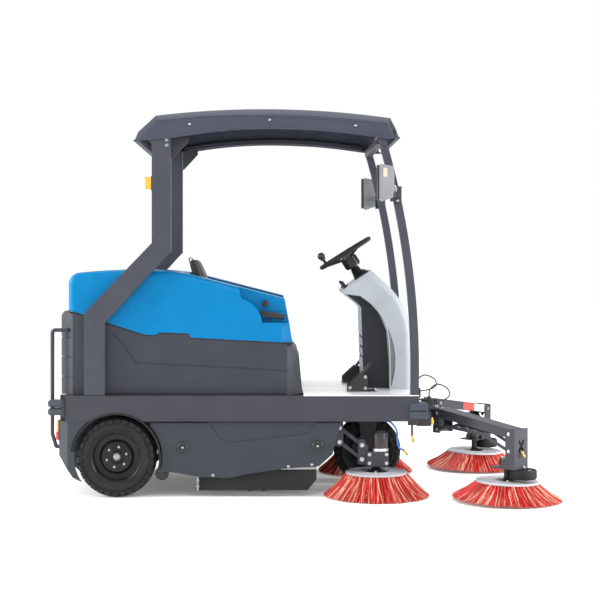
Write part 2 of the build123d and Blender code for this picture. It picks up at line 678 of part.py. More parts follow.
def console_outline():
    front = ThreePointArc((470, 1122), (573, 985), (608, 790))
    rear = Polyline((608, 790), (608, DECK_TOP), (345, DECK_TOP), (332, 988), (312, 1008), (236, 1068), (226, 1084),
                    (388, 1197), (470, 1122))
    return make_face(Wire([*front.edges(), *rear.edges()]))


def console_shell():
    """The steering console: a curved front, a sunk field on each side and a ribbed rear."""
    shell = across(console_outline(), (-190, 190))
    shell = rounded_edges(
        shell, 40, lambda e: abs(abs(e.center().Y) - 190) < 1 and e.center().X > 410 and e.center().Z > 600)
    field = make_face(Wire([
        *ThreePointArc((490, DECK_TOP - 1), (478, 880), (330, 1055)).edges(),
        *Polyline((330, 1055), (240, 1066), (200, 1000), (200, DECK_TOP - 1), (490, DECK_TOP - 1)).edges(),
    ]))
    for side in (-1, 1):
        shell -= across(field, (side * 135, side * 200))
    for z in (700, 755, 810):
        shell -= across(outline((300, z), (352, z + 12), (352, z + 20), (300, z + 32)), (-140, 140))
    inside = outline((364, 500), (548, 500), (530, 860), (420, 1040), (364, 1020))
    shell -= across(inside, (-128, 128))
    x, z = WHEEL_CENTRE
    shaft_hole = rod((x + 60, 0, z - 96), (x + 230, 0, z - 368), 17)
    return shell - shaft_hole


def along_column(distance):
    """A point on the steering column's axis, that far below the wheel's centre."""
    tilt = radians(WHEEL_TILT)
    return (WHEEL_CENTRE[0] + distance * sin(tilt), 0, WHEEL_CENTRE[1] - distance * cos(tilt))


def steering_column():
    column = rod(along_column(92), along_column(150), 22)
    column += rod(along_column(150), along_column(300), 15)
    return column


def steering_wheel():
    plane = Plane(origin=(WHEEL_CENTRE[0], 0, WHEEL_CENTRE[1]), x_dir=(0, -1, 0),
                  z_dir=(-sin(radians(WHEEL_TILT)), 0, cos(radians(WHEEL_TILT))))
    rim = revolve(Plane.XZ * Pos(WHEEL_RADIUS, 0) * Circle(12), Axis.Z, 360)
    wheel = rim + Pos(0, 0, -54) * Cylinder(36, 72)
    for angle in (30, 150, 270):
        wheel += Rot(0, 0, angle) * rod((20, 0, -30), (WHEEL_RADIUS, 0, 0), 8)
    wheel += Rot(0, 0, KNOB_ANGLE - 90) * Pos(WHEEL_RADIUS, 0, 20) * Box(11, 11, 28)
    return plane.location * wheel


def knob_base():
    """The spinner knob's axis: a point on the rim and the direction square to the wheel."""
    tilt = radians(WHEEL_TILT)
    swing = radians(KNOB_ANGLE)
    back, across_y = WHEEL_RADIUS * cos(swing), -WHEEL_RADIUS * sin(swing)
    base = Vector(WHEEL_CENTRE[0] - back * cos(tilt), across_y, WHEEL_CENTRE[1] - back * sin(tilt))
    return base, Vector(-sin(tilt), 0, cos(tilt))


def spinner_knob():
    base, normal = knob_base()
    low, high = base + normal * 34.3, base + normal * 56
    knob = rod(tuple(low), tuple(high), 15)
    return knob + Pos(*tuple(base + normal * 58)) * Sphere(21)


def pedal_base():
    plates = []
    for y in (-PEDAL_Y, PEDAL_Y):
        base = block((PEDAL_X - 52, PEDAL_X + 110), (y - 46, y + 46), (DECK_TOP, DECK_TOP + 6))
        cheek = outline((PEDAL_X - 50, DECK_TOP + 6), (PEDAL_X + 60, DECK_TOP + 6), (PEDAL_X + 56, 632),
                        (PEDAL_X + 20, 640), (PEDAL_X - 50, 576))
        for side in (-1, 1):
            base += across(cheek, (y + side * 38, y + side * 44))
        base += cross_rod(PEDAL_X, PEDAL_Z, 6, (y - 40, y + 40))
        plates.append(base)
    return group(*plates)


def pedal(y):
    """A foot pedal on a cross pin, leaning forward and up."""
    lever = Rot(0, 0, 0) * Box(10, 56, 132, align=(Align.CENTER, Align.CENTER, Align.MIN))
    lever = Pos(PEDAL_X, y, PEDAL_Z) * Rot(0, 38, 0) * Pos(-11, 0, 6) * lever
    eye = cross_rod(PEDAL_X, PEDAL_Z, 13, (y - 28, y + 28))
    body = lever + eye + Pos(PEDAL_X, y, PEDAL_Z) * Rot(0, 38, 0) * Pos(-6, 0, 14) * Box(12, 56, 20)
    return body - cross_rod(PEDAL_X, PEDAL_Z, 6 + RUNNING_CLEARANCE, (y - 60, y + 60))


# ---------------------------------------------------------------- front brush arms


def arm_frame():
    """The right arm's own frame: its X runs out along the arm, its Z is up."""
    splay = radians(ARM_SPLAY)
    return Plane(origin=(ARM_PIVOT_X, -ARM_PIVOT_Y, 0), x_dir=(cos(splay), -sin(splay), 0), z_dir=(0, 0, 1))


def on_arm(shape):
    """Move a shape made in the arm's frame to the right arm."""
    return arm_frame().location * shape


def swing_bracket():
    """The bracket that turns on the carrier's upright pin and holds the arm's two root pins."""
    bracket = Pos(0, 0, 410) * Cylinder(18, 56.4)
    bracket += Pos(0, 0, 407) * Cylinder(10, 84)
    bracket += block((8, 34), (-16, 16), (384, 436))
    bracket += block((28, 34), (-57, 57), (ARM_ROOT_Z - LINK_DROP - 18, ARM_ROOT_Z + 20))
    for side in (-1, 1):
        bracket += block((28, ARM_ROOT_REACH + 16), (side * 52, side * 57),
                         (ARM_ROOT_Z - LINK_DROP - 18, ARM_ROOT_Z + 20))
    for z in (ARM_ROOT_Z, ARM_ROOT_Z - LINK_DROP):
        bracket += cross_rod(ARM_ROOT_REACH, z, PIN_RADIUS, (-60, 60))
    return on_arm(bracket)


def arm_bar(points, height):
    """A bar's side outline that follows the points, with half its height above and below."""
    half = height / 2
    top = [(x, z + half) for x, z in points]
    bottom = [(x, z - half) for x, z in reversed(points)]
    return outline(*top, *bottom)


def lift_arm():
    """The upper arm: a box section between the root pin and the brush bracket's pin."""
    root, end = (ARM_ROOT_REACH, ARM_ROOT_Z), (ARM_END_REACH, ARM_END_Z)
    face = arm_bar([root, end], 48)
    arm = hollow_across(face, (-48, 48), 4)
    for x, z in (root, end):
        arm += cross_rod(x, z, 20, (-48, 48))
        arm -= cross_rod(x, z, PIN_RADIUS + RUNNING_CLEARANCE, (-50, 50))
    return on_arm(arm)


def lower_link():
    """The thin link under the arm: two bowed side bars joined by a cross bar."""
    x0, z0 = ARM_ROOT_REACH, ARM_ROOT_Z - LINK_DROP
    x1, z1 = ARM_END_REACH, ARM_END_Z - LINK_DROP
    bow = [(x0, z0), (x0 + 60, z0 + 22), (x0 + 300, z0 + 2), (x1 - 40, z1 + 12), (x1, z1)]
    face = arm_bar(bow, 18)
    link = across(face, (-50, -44)) + across(face, (44, 50))
    link += cross_rod(x0 + 130, z0 + 14, 7, (-46, 46))
    for x, z, extra in ((x0, z0, RUNNING_CLEARANCE), (x1, z1, OPEN_PIVOT_CLEARANCE)):
        for side in (-1, 1):
            link += cross_rod(x, z, 15, (side * 44, side * 50))
        link -= cross_rod(x, z, PIN_RADIUS + extra, (-60, 60))
    return on_arm(link)


def brush_bracket():
    """The bracket at the arm's end, with its window, motor and pins."""
    web_x = ARM_END_REACH + 34
    top = ARM_END_Z + 26
    bracket = block((web_x - 6, web_x), (-58, 58), (176, top))
    for side in (-1, 1):
        flange = outline((ARM_END_REACH - 24, top - 6), (web_x, top), (web_x, 176), (ARM_END_REACH - 60, 176),
                         (ARM_END_REACH - 60, 190), (ARM_END_REACH - 24, 226))
        bracket += across(flange, (side * 52, side * 58))
    bracket += block((BRUSH_REACH - 62, web_x), (-58, 58), (170, 177))
    for turn in (-35, 35):
        slot = Pos(web_x - 3, 0, 290) * Rot(turn, 0, 0) * Box(20, 15, 76)
        bracket -= slot
    for z in (ARM_END_Z, ARM_END_Z - LINK_DROP):
        bracket += cross_rod(ARM_END_REACH, z, PIN_RADIUS, (-60, 60))
    roller_x, roller_y = GUIDE_ROLLER
    bracket += block((web_x - 20, roller_x), (roller_y - 16, roller_y + 16), (171, 177))
    bracket += Pos(roller_x, roller_y, 151) * Cylinder(9, 52)
    motor = Pos(BRUSH_REACH, 0, 177 + 22) * Cylinder(37, 44)
    motor += Pos(BRUSH_REACH, 0, 148.5) * Cylinder(16, 58)
    return on_arm(bracket + motor)


def guide_roller():
    """The rubber wheel that rolls along walls and kerbs."""
    section = [(9 + RUNNING_CLEARANCE, -22), (26, -24), (30, -15), (52, -15), (56, -24), (66, -24), (70, -16),
               (70, 16), (66, 24), (56, 24), (52, 15), (30, 15), (26, 22), (9 + RUNNING_CLEARANCE, 22)]
    wheel = revolve(Plane.XZ * make_face(Polyline(*section, close=True)), Axis.Z, 360)
    return on_arm(Pos(GUIDE_ROLLER[0], GUIDE_ROLLER[1], 144) * wheel)


# ---------------------------------------------------------------- round brushes


def round_brush(disc_top, rim_radius, hub_top):
    """A round brush about the Z axis: the disc with its hub, and the flared bristles."""
    low = disc_top - DISC_THICKNESS
    disc = Pos(0, 0, disc_top - DISC_THICKNESS / 2) * Cylinder(DISC_RADIUS, DISC_THICKNESS)
    disc += Pos(0, 0, (disc_top + hub_top) / 2) * Cylinder(18, hub_top - disc_top)
    outer = [(DISC_RADIUS - 8, low), (rim_radius, 0), (rim_radius - 60, 0), (DISC_RADIUS - 56, low)]
    bristles = revolve(Plane.XZ * make_face(Polyline(*outer, close=True)), Axis.Z, 360)
    return group(disc, bristles)


def mid_brush():
    return Pos(MID_BRUSH_X, -MID_BRUSH_Y, 0) * round_brush(MID_DISC_TOP, MID_BRISTLE_RADIUS, 152)


def front_brush():
    """The front brush leans forward a little, so that its leading bristles bear on the floor."""
    brush = round_brush(FRONT_DISC_TOP, FRONT_BRISTLE_RADIUS, FRONT_DISC_TOP + 12)
    lift = FRONT_BRISTLE_RADIUS * sin(radians(FRONT_BRUSH_TILT))
    return Pos(FRONT_BRUSH_X, -FRONT_BRUSH_Y, lift) * Rot(0, FRONT_BRUSH_TILT, 0) * brush


# ---------------------------------------------------------------- side brush links and heads


def mid_link_rear():
    """X and Z of the upper link's rear pin."""
    slope = radians(MID_LINK_SLOPE)
    return (MID_LINK_FRONT_X - MID_LINK_LENGTH * cos(slope), MID_LINK_FRONT_Z + MID_LINK_LENGTH * sin(slope))


def mid_link(drop, front_clearance):
    """One of the two parallel links; the open pivot gets more clearance."""
    x0, z0 = mid_link_rear()
    x1, z1 = MID_LINK_FRONT_X, MID_LINK_FRONT_Z
    link = across(arm_bar([(x0, z0), (x1, z1)], 24), (-462, -418))
    for x, z in ((x0, z0), (x1, z1)):
        link += cross_rod(x, z, 15, (-462, -418))
    link -= across(arm_bar([(x0 + 30, z0 - 22), (x1 - 30, z1 + 22)], 60), (-452, -428))
    link -= cross_rod(x0, z0, PIN_RADIUS + RUNNING_CLEARANCE, (-470, -410))
    link -= cross_rod(x1, z1, PIN_RADIUS + front_clearance, (-470, -410))
    return Pos(0, 0, -drop) * link


def mid_upper_link():
    return mid_link(0, RUNNING_CLEARANCE)


def mid_lower_link():
    return mid_link(MID_LINK_DROP, OPEN_PIVOT_CLEARANCE)


def mid_brush_head():
    """The side brush's bracket, gear housing and motor."""
    y = -MID_BRUSH_Y
    head = block((342, 459), (y - 45, y + 45), (162, 239))
    for inner in (408, 466):
        ear = outline((296, 302), (330, 302), (350, 262), (350, 166), (296, 172))
        head += across(ear, (-inner - 6, -inner))
    for z in (MID_LINK_FRONT_Z, MID_LINK_FRONT_Z - MID_LINK_DROP):
        head += cross_rod(MID_LINK_FRONT_X, z, PIN_RADIUS, (-474, -406))
    head += block((338, 344), (-472, -408), (166, 262))
    motor = Pos(415, y, 287) * Cylinder(39, 98) + Pos(415, y, 338) * Cylinder(24, 8)
    return head + motor + Pos(MID_BRUSH_X, y, 158) * Cylinder(20, 11)


# ---------------------------------------------------------------- all parts


PARTS = {
    "chassis_frame": chassis_frame,
    "deck_plate": deck_plate,
    "transaxle": transaxle,
    "body_shell": body_shell,
    "rear_cover": rear_cover,
    "hood": lambda: group(hood(), hood_grip()),
    "hood_lock": hood_lock,
    "seat_base": seat_base,
    "seat_cushion": seat_cushion,
    "seat_back": seat_back,
    "rear_posts": rear_posts,
    "front_posts": front_posts,
    "roof_panel": roof_panel,
    "roof_frame": roof_frame,
    "lamps": lamps,
    "corner_bumpers": corner_bumpers,
    "rear_guard": rear_guard,
    "rubber_skirts": rubber_skirts,
    "broom_housing": broom_housing,
    "main_broom": main_broom,
    "dust_hopper": dust_hopper,
    "filter_and_fan": filter_and_fan,
    "batteries": batteries,
    "front_fork": front_fork,
    "front_wheel": front_wheel,
    "console_shell": console_shell,
    "steering_column": steering_column,
    "steering_wheel": steering_wheel,
    "spinner_knob": spinner_knob,
    "pedal_base": pedal_base,
    "accelerator_pedal": lambda: pedal(-PEDAL_Y),
    "brake_pedal": lambda: pedal(PEDAL_Y),
}

# Parts made once for the right side and mirrored for the left.
SIDED_PARTS = {
    "mirror": mirror_glass_housing,
    "rear_tyre": rear_tyre,
    "rear_rim": rear_rim,
    "side_cover": side_cover,
    "swing_bracket": swing_bracket,
    "lift_arm": lift_arm,
    "lower_link": lower_link,
    "brush_bracket": brush_bracket,
    "guide_roller": guide_roller,
    "front_brush": front_brush,
    "mid_upper_link": mid_upper_link,
    "mid_lower_link": mid_lower_link,
    "mid_brush_head": mid_brush_head,
    "mid_brush": mid_brush,
}


def build_all():
    shapes = {name: make() for name, make in PARTS.items()}
    for name, make in SIDED_PARTS.items():
        shapes[name + "_right"] = make()
        shapes[name + "_left"] = mirrored(shapes[name + "_right"])
    return shapes


def centring_shift():
    """How far forward every part moves, so that X = 0 is the middle of the whole length."""
    lean = radians(FRONT_BRUSH_TILT)
    front = FRONT_BRUSH_X + FRONT_BRISTLE_RADIUS * cos(lean)
    rear = -1341.0
    return -(front + rear) / 2


def main():
    os.makedirs("parts", exist_ok=True)
    move = Pos(centring_shift(), 0, 0)
    for name, shape in build_all().items():
        export_step(move * shape, f"parts/{name}.step")


main()
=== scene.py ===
import random
from math import cos, pi, radians, sin

import bmesh
import bpy
from mathutils import Matrix, Vector


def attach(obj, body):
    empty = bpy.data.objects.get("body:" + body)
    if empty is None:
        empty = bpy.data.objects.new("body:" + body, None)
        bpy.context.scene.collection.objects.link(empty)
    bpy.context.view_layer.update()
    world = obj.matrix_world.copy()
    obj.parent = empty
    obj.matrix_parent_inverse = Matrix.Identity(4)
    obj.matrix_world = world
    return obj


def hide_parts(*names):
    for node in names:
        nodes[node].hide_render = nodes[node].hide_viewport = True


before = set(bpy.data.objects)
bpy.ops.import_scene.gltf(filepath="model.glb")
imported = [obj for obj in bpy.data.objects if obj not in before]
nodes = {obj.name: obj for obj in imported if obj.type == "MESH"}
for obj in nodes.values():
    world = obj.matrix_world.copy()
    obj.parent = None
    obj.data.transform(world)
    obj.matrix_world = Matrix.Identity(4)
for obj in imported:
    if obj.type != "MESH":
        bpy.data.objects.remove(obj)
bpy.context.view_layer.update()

# Lengths below are millimetres in the layout frame, whose X runs SHIFT ahead of the row's.
SHIFT = -5.951
SIDES = (("right", 1), ("left", -1))
SHARP_ANGLE = radians(32)


# ---------------------------------------------------------------- frames


def layout(side=1):
    """Layout millimetres to row metres; side -1 mirrors a right-hand piece to the left."""
    scale = Matrix.Diagonal((0.001, 0.001 * side, 0.001, 1))
    return scale @ Matrix.Translation((SHIFT, 0, 0))


def turned(origin, x_axis, z_axis):
    """A local frame at a point, given its X and Z directions."""
    z = Vector(z_axis).normalized()
    x = Vector(x_axis) - z * Vector(x_axis).dot(z)
    x.normalize()
    rows = Matrix((x, z.cross(x), z)).transposed().to_4x4()
    return Matrix.Translation(origin) @ rows


ARM_PIVOT = Vector((735, -235, 0))
ARM_TIP = Vector((1065, -585, 0))
ARM = turned(ARM_PIVOT, ARM_TIP - ARM_PIVOT, (0, 0, 1))
BRUSH_REACH = (ARM_TIP - ARM_PIVOT).length


# ---------------------------------------------------------------- mesh helpers


def lathe(bm, profile, place=Matrix(), steps=48):
    """Spin a closed section, given as radius and height, about the local Z axis."""
    verts = [bm.verts.new(place @ Vector((r, 0, z))) for r, z in profile]
    edges = [bm.edges.new((a, b)) for a, b in zip(verts, verts[1:] + verts[:1])]
    origin = place @ Vector((0, 0, 0))
    axis = (place.to_3x3() @ Vector((0, 0, 1))).normalized()
    bmesh.ops.spin(bm, geom=verts + edges, cent=origin, axis=axis, dvec=(0, 0, 0), angle=2 * pi,
                   steps=steps, use_merge=True, use_duplicate=False)


def stud(bm, place, radius, height, edge=1.0, steps=20, base=0.0):
    """A short round piece along the local Z axis with an eased outer edge."""
    lathe(bm, [(0.01, base), (radius, base), (radius, height - edge), (radius - edge, height),
               (0.01, height)], place, steps)


def hexagon(bm, place, across_flats, height, base=0.0):
    """A hexagonal head or nut along the local Z axis."""
    radius = across_flats / 2 / cos(pi / 6)
    loops = []
    for z, r in ((base, radius), (height - 1.2, radius), (height, radius * 0.88)):
        loops.append([bm.verts.new(place @ Vector((r * cos(k * pi / 3), r * sin(k * pi / 3), z))) for k in range(6)])
    bm.faces.new(loops[0][::-1])
    bm.faces.new(loops[-1])
    for low, high in zip(loops, loops[1:]):
        for k in range(6):
            bm.faces.new((low[k], low[(k + 1) % 6], high[(k + 1) % 6], high[k]))


def bolt(bm, place, size, washer=True):
    """A washer with a hexagonal head on it; size is the width across the head's flats."""
    base = 0.0
    if washer:
        stud(bm, place, size * 0.85, size * 0.16, 0.3, 18)
        base = size * 0.14
    hexagon(bm, place, size, base + size * 0.42, base)


def dome(bm, place, radius, height, steps=20):
    """A pan-head screw or cap along the local Z axis."""
    points = [(radius * cos(a), height * sin(a)) for a in (0, 0.35, 0.7, 1.1, 1.5)]
    lathe(bm, [(0.01, 0), *points, (0.01, height)], place, steps)


def slab(bm, x, y, z, bevel=0.0, place=Matrix(), segments=2):
    """A box between two values along each axis, with eased edges."""
    size = Vector([max(p) - min(p) for p in (x, y, z)])
    centre = Vector([sum(p) / 2 for p in (x, y, z)])
    made = bmesh.ops.create_cube(bm, size=1.0)["verts"]
    for v in made:
        v.co = Vector([v.co[k] * size[k] for k in range(3)]) + centre
    if bevel:
        edges = list({e for v in made for e in v.link_edges})
        result = bmesh.ops.bevel(bm, geom=edges, offset=bevel, offset_type="OFFSET", affect="EDGES",
                                 segments=segments, profile=0.5, material=-1)
        made = list(set(result["verts"]) | {v for v in made if v.is_valid})
    for v in made:
        v.co = place @ v.co
    return made


def prism(bm, points, y, bevel=0.0, segments=2):
    """An X-Z outline run across the machine between two Y values."""
    near = [bm.verts.new((px, min(y), pz)) for px, pz in points]
    far = [bm.verts.new((px, max(y), pz)) for px, pz in points]
    faces = [bm.faces.new(near), bm.faces.new(far[::-1])]
    count = len(points)
    for k in range(count):
        faces.append(bm.faces.new((near[k], far[k], far[(k + 1) % count], near[(k + 1) % count])))
    if bevel:
        edges = list({e for f in faces for e in f.edges})
        bmesh.ops.bevel(bm, geom=edges, offset=bevel, offset_type="OFFSET", affect="EDGES",
                        segments=segments, profile=0.5, material=-1)


def bar(bm, start, end, radius, steps=20):
    """A round bar between two points."""
    start, end = Vector(start), Vector(end)
    along = end - start
    side = (1, 0, 0) if abs(along.x) < 0.9 * along.length else (0, 0, 1)
    stud(bm, turned(start, side, along), radius, along.length, min(0.6, radius * 0.2), steps)


def pipe(bm, points, radius, steps=12, closed=False):
    """A round tube through a list of points."""
    points = [Vector(p) for p in points]
    count = len(points)
    rings, side = [], None
    for k, point in enumerate(points):
        before = points[k - 1] if closed or k else point
        after = points[(k + 1) % count] if closed or k < count - 1 else point
        along = (after - before).normalized()
        if side is None:
            side = along.orthogonal().normalized()
        side = (side - along * side.dot(along)).normalized()
        up = along.cross(side)
        rings.append([bm.verts.new(point + (side * cos(2 * pi * j / steps) + up * sin(2 * pi * j / steps)) * radius)
                      for j in range(steps)])
    pairs = list(zip(rings, rings[1:] + (rings[:1] if closed else [])))
    for low, high in pairs:
        for j in range(steps):
            bm.faces.new((low[j], low[(j + 1) % steps], high[(j + 1) % steps], high[j]))
    if not closed:
        bm.faces.new(rings[0][::-1])
        bm.faces.new(rings[-1])


def curve_points(points, count=24):
    """Points along a smooth line through the given ones."""
    points = [Vector(p) for p in points]
    ends = [points[0] * 2 - points[1], *points, points[-1] * 2 - points[-2]]
    made = []
    spans = len(points) - 1
    for k in range(count + 1):
        place = min(k / count * spans, spans - 1e-6)
        n = int(place)
        t = place - n
        a, b, c, d = ends[n:n + 4]
        made.append(0.5 * ((2 * b) + (c - a) * t + (2 * a - 5 * b + 4 * c - d) * t * t
                           + (3 * b - a - 3 * c + d) * t ** 3))
    return made


def piece(name, bm, material, body, place=None, slot=None, replaces=()):
    """Turn a mesh into a finished piece that rides on a body."""
    bm.transform(layout() if place is None else place)
    bmesh.ops.remove_doubles(bm, verts=bm.verts, dist=1e-6)
    bmesh.ops.recalc_face_normals(bm, faces=bm.faces)
    for face in bm.faces:
        face.smooth = True
    for edge in bm.edges:
        edge.smooth = len(edge.link_faces) == 2 and edge.calc_face_angle(0) < SHARP_ANGLE
    mesh = bpy.data.meshes.new(name)
    bm.to_mesh(mesh)
    bm.free()
    mesh.materials.append(material)
    made = bpy.data.objects.new(name, mesh)
    bpy.context.scene.collection.objects.link(made)
    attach(made, body)
    if replaces:
        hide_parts(*replaces)
    return made


def paired(name, build, material, body, **options):
    """A right-hand piece and its mirror; {} in a body or node name takes the side."""
    for side, sign in SIDES:
        bm = bmesh.new()
        build(bm)
        chosen = {key: tuple(v.format(side) for v in value) if key == "replaces" else value
                  for key, value in options.items()}
        local = chosen.pop("local", Matrix())
        piece(f"{name}_{side}", bm, material, body.format(side), place=layout(sign) @ local, **chosen)


# ---------------------------------------------------------------- materials


def material(name, colour, rough, metal=0.0, patch=0.12, scale=6.0, grain=0.0, grain_scale=400.0,
             coat=0.0, second=None, emission=0.0, spec=0.5):
    """A surface with broad colour variation, uneven gloss and a fine grain."""
    made = bpy.data.materials.new(name)
    made.use_nodes = True
    tree = made.node_tree
    shader = tree.nodes["Principled BSDF"]
    shader.inputs["Metallic"].default_value = metal
    shader.inputs["Coat Weight"].default_value = coat
    shader.inputs["Coat Roughness"].default_value = 0.12
    shader.inputs["Specular IOR Level"].default_value = spec
    coords = tree.nodes.new("ShaderNodeTexCoord")
    broad = tree.nodes.new("ShaderNodeTexNoise")
    broad.inputs["Scale"].default_value = scale
    broad.inputs["Detail"].default_value = 6
    broad.inputs["Roughness"].default_value = 0.62
    tree.links.new(coords.outputs["Object"], broad.inputs["Vector"])
    ramp = tree.nodes.new("ShaderNodeValToRGB")
    dark = [c * (1 - patch) for c in colour]
    light = [min(1.0, c * (1 + patch) + patch * 0.01) for c in (second or colour)]
    ramp.color_ramp.elements[0].position = 0.32
    ramp.color_ramp.elements[0].color = (*dark, 1)
    ramp.color_ramp.elements[1].position = 0.7
    ramp.color_ramp.elements[1].color = (*light, 1)
    tree.links.new(broad.outputs["Fac"], ramp.inputs["Fac"])
    tree.links.new(ramp.outputs["Color"], shader.inputs["Base Color"])
    gloss = tree.nodes.new("ShaderNodeMapRange")
    gloss.inputs["To Min"].default_value = max(0.02, rough - 0.07)
    gloss.inputs["To Max"].default_value = min(1.0, rough + 0.09)
    tree.links.new(broad.outputs["Fac"], gloss.inputs["Value"])
    tree.links.new(gloss.outputs["Result"], shader.inputs["Roughness"])
    if grain:
        fine = tree.nodes.new("ShaderNodeTexNoise")
        fine.inputs["Scale"].default_value = grain_scale
        fine.inputs["Detail"].default_value = 3
        tree.links.new(coords.outputs["Object"], fine.inputs["Vector"])
        bump = tree.nodes.new("ShaderNodeBump")
        bump.inputs["Strength"].default_value = grain
        bump.inputs["Distance"].default_value = 0.001
        tree.links.new(fine.outputs["Fac"], bump.inputs["Height"])
        tree.links.new(bump.outputs["Normal"], shader.inputs["Normal"])
    if emission:
        shader.inputs["Emission Color"].default_value = (*colour, 1)
        shader.inputs["Emission Strength"].default_value = emission
    return made


def strands(name, low, high, highlight_tint):
    """Bristle colours: each strand has its own value, and a few take a pale colour that is a painted highlight on the
    strands.
    """
    made = material(name, low, 0.5)
    tree = made.node_tree
    shader = tree.nodes["Principled BSDF"]
    value = tree.nodes.new("ShaderNodeAttribute")
    value.attribute_name = "strand"
    ramp = tree.nodes.new("ShaderNodeValToRGB")
    stops = ramp.color_ramp.elements
    stops[0].color = (*low, 1)
    stops[1].position = 0.72
    stops[1].color = (*high, 1)
    last = stops.new(0.78)
    last.color = (*highlight_tint, 1)
    tree.links.new(value.outputs["Fac"], ramp.inputs["Fac"])
    tree.links.new(ramp.outputs["Color"], shader.inputs["Base Color"])
    return made


def tread_plate(made):
    """Crossed raised bars, as on pressed aluminium plate."""
    tree = made.node_tree
    shader = tree.nodes["Principled BSDF"]
    coords = tree.nodes.new("ShaderNodeTexCoord")
    waves = []
    for angle in (45, -45):
        turn = tree.nodes.new("ShaderNodeMapping")
        turn.inputs["Rotation"].default_value = (0, 0, radians(angle))
        turn.inputs["Scale"].default_value = (1, 3, 1)
        tree.links.new(coords.outputs["Object"], turn.inputs["Vector"])
        cells = tree.nodes.new("ShaderNodeTexVoronoi")
        cells.inputs["Scale"].default_value = 22
        cells.inputs["Randomness"].default_value = 0
        tree.links.new(turn.outputs["Vector"], cells.inputs["Vector"])
        waves.append(cells)
    least = tree.nodes.new("ShaderNodeMath")
    least.operation = "MINIMUM"
    tree.links.new(waves[0].outputs["Distance"], least.inputs[0])
    tree.links.new(waves[1].outputs["Distance"], least.inputs[1])
    bump = tree.nodes.new("ShaderNodeBump")
    bump.invert = True
    bump.inputs["Strength"].default_value = 0.5
    bump.inputs["Distance"].default_value = 0.003
    tree.links.new(least.outputs["Value"], bump.inputs["Height"])
    tree.links.new(bump.outputs["Normal"], shader.inputs["Normal"])
    return made


CHARCOAL = material("powder_coat", (0.031, 0.031, 0.041), 0.42, grain=0.12, grain_scale=900, patch=0.1, spec=0.3)
POST = material("post_paint", (0.038, 0.041, 0.055), 0.42, grain=0.12, grain_scale=900, patch=0.08, spec=0.3)
MOULDING = material("grey_moulding", (0.025, 0.029, 0.038), 0.46, grain=0.18, grain_scale=1200, patch=0.1, spec=0.3)
ROOF = material("roof_moulding", (0.038, 0.043, 0.063), 0.46, grain=0.18, grain_scale=1200, patch=0.08, spec=0.3)
DARK_GREY = material("dark_field", (0.012, 0.015, 0.02), 0.5, grain=0.18, grain_scale=1200, spec=0.3)
BLUE = material("blue_moulding", (0.0, 0.142, 0.335), 0.3, grain=0.04, grain_scale=300, patch=0.06, spec=0.12)
PALE_GREY = material("pale_moulding", (0.295, 0.318, 0.35), 0.42, grain=0.12, grain_scale=1200, patch=0.08)
BLACK = material("black_plastic", (0.009, 0.009, 0.01), 0.4, grain=0.12, grain_scale=900)
RUBBER = material("rubber", (0.007, 0.007, 0.008), 0.68, grain=0.2, grain_scale=700,
                  second=(0.012, 0.012, 0.013), spec=0.3)
BUMPER = material("bumper_rubber", (0.038, 0.046, 0.06), 0.55, grain=0.15, grain_scale=700, spec=0.3)
TYRE = material("tyre_rubber", (0.007, 0.007, 0.009), 0.6, grain=0.25, grain_scale=500,
                second=(0.013, 0.013, 0.014), patch=0.2, scale=14, spec=0.22)
RIM = material("wheel_enamel", (0.006, 0.006, 0.007), 0.3, patch=0.2, spec=0.25)
PLATE = tread_plate(material("tread_plate", (0.95, 0.95, 0.96), 0.38, metal=0.6, patch=0.04, scale=9))
ZINC = material("bright_zinc", (0.44, 0.44, 0.43), 0.32, metal=1.0, patch=0.15, scale=60)
STEEL = material("dull_steel", (0.34, 0.34, 0.35), 0.42, metal=1.0, patch=0.25, scale=30, grain=0.1)
ALUMINIUM = material("cast_aluminium", (0.6, 0.61, 0.63), 0.4, metal=0.9, grain=0.15, grain_scale=500)
MOTOR = material("motor_enamel", (0.035, 0.028, 0.027), 0.34, patch=0.2, spec=0.4)
DISC = material("grey_disc", (0.4, 0.4, 0.43), 0.5, grain=0.15, grain_scale=600)
VINYL = material("seat_vinyl", (0.012, 0.012, 0.014), 0.48, grain=0.5, grain_scale=330, patch=0.15)
AMBER = material("amber_lens", (0.85, 0.33, 0.02), 0.2, coat=0.6, emission=0.15)
RED = material("red_lens", (0.6, 0.015, 0.01), 0.2, coat=0.6, emission=0.05)
SHELL = material("mirror_shell", (0.21, 0.21, 0.23), 0.42, grain=0.12, grain_scale=900)
GLASS = material("mirror_glass", (0.85, 0.87, 0.88), 0.04, metal=1.0, patch=0.02)
PEACH = material("reflector", (0.75, 0.45, 0.33), 0.3, coat=0.4)
BRASS = material("brass", (0.6, 0.4, 0.13), 0.3, metal=1.0, patch=0.15, scale=50)
HOSE = material("blue_hose", (0.01, 0.1, 0.42), 0.36, coat=0.2, patch=0.1)
YELLOW = material("valve_yellow", (0.75, 0.55, 0.06), 0.42)
WHITE_TAPE = material("white_tape", (0.82, 0.82, 0.8), 0.34, patch=0.05, coat=0.3)
RED_TAPE = material("red_tape", (0.62, 0.03, 0.02), 0.34, patch=0.08, coat=0.3)
# The last, pale bristle colour is a painted highlight.
BRISTLES = strands("bristles", (0.36, 0.009, 0.011), (0.62, 0.022, 0.022), (0.75, 0.42, 0.27))
BRISTLE_ROOT = material("bristle_root", (0.28, 0.01, 0.008), 0.7, patch=0.4, scale=90)
CASE = material("battery_case", (0.03, 0.031, 0.036), 0.45, grain=0.15)


# ---------------------------------------------------------------- CAD nodes


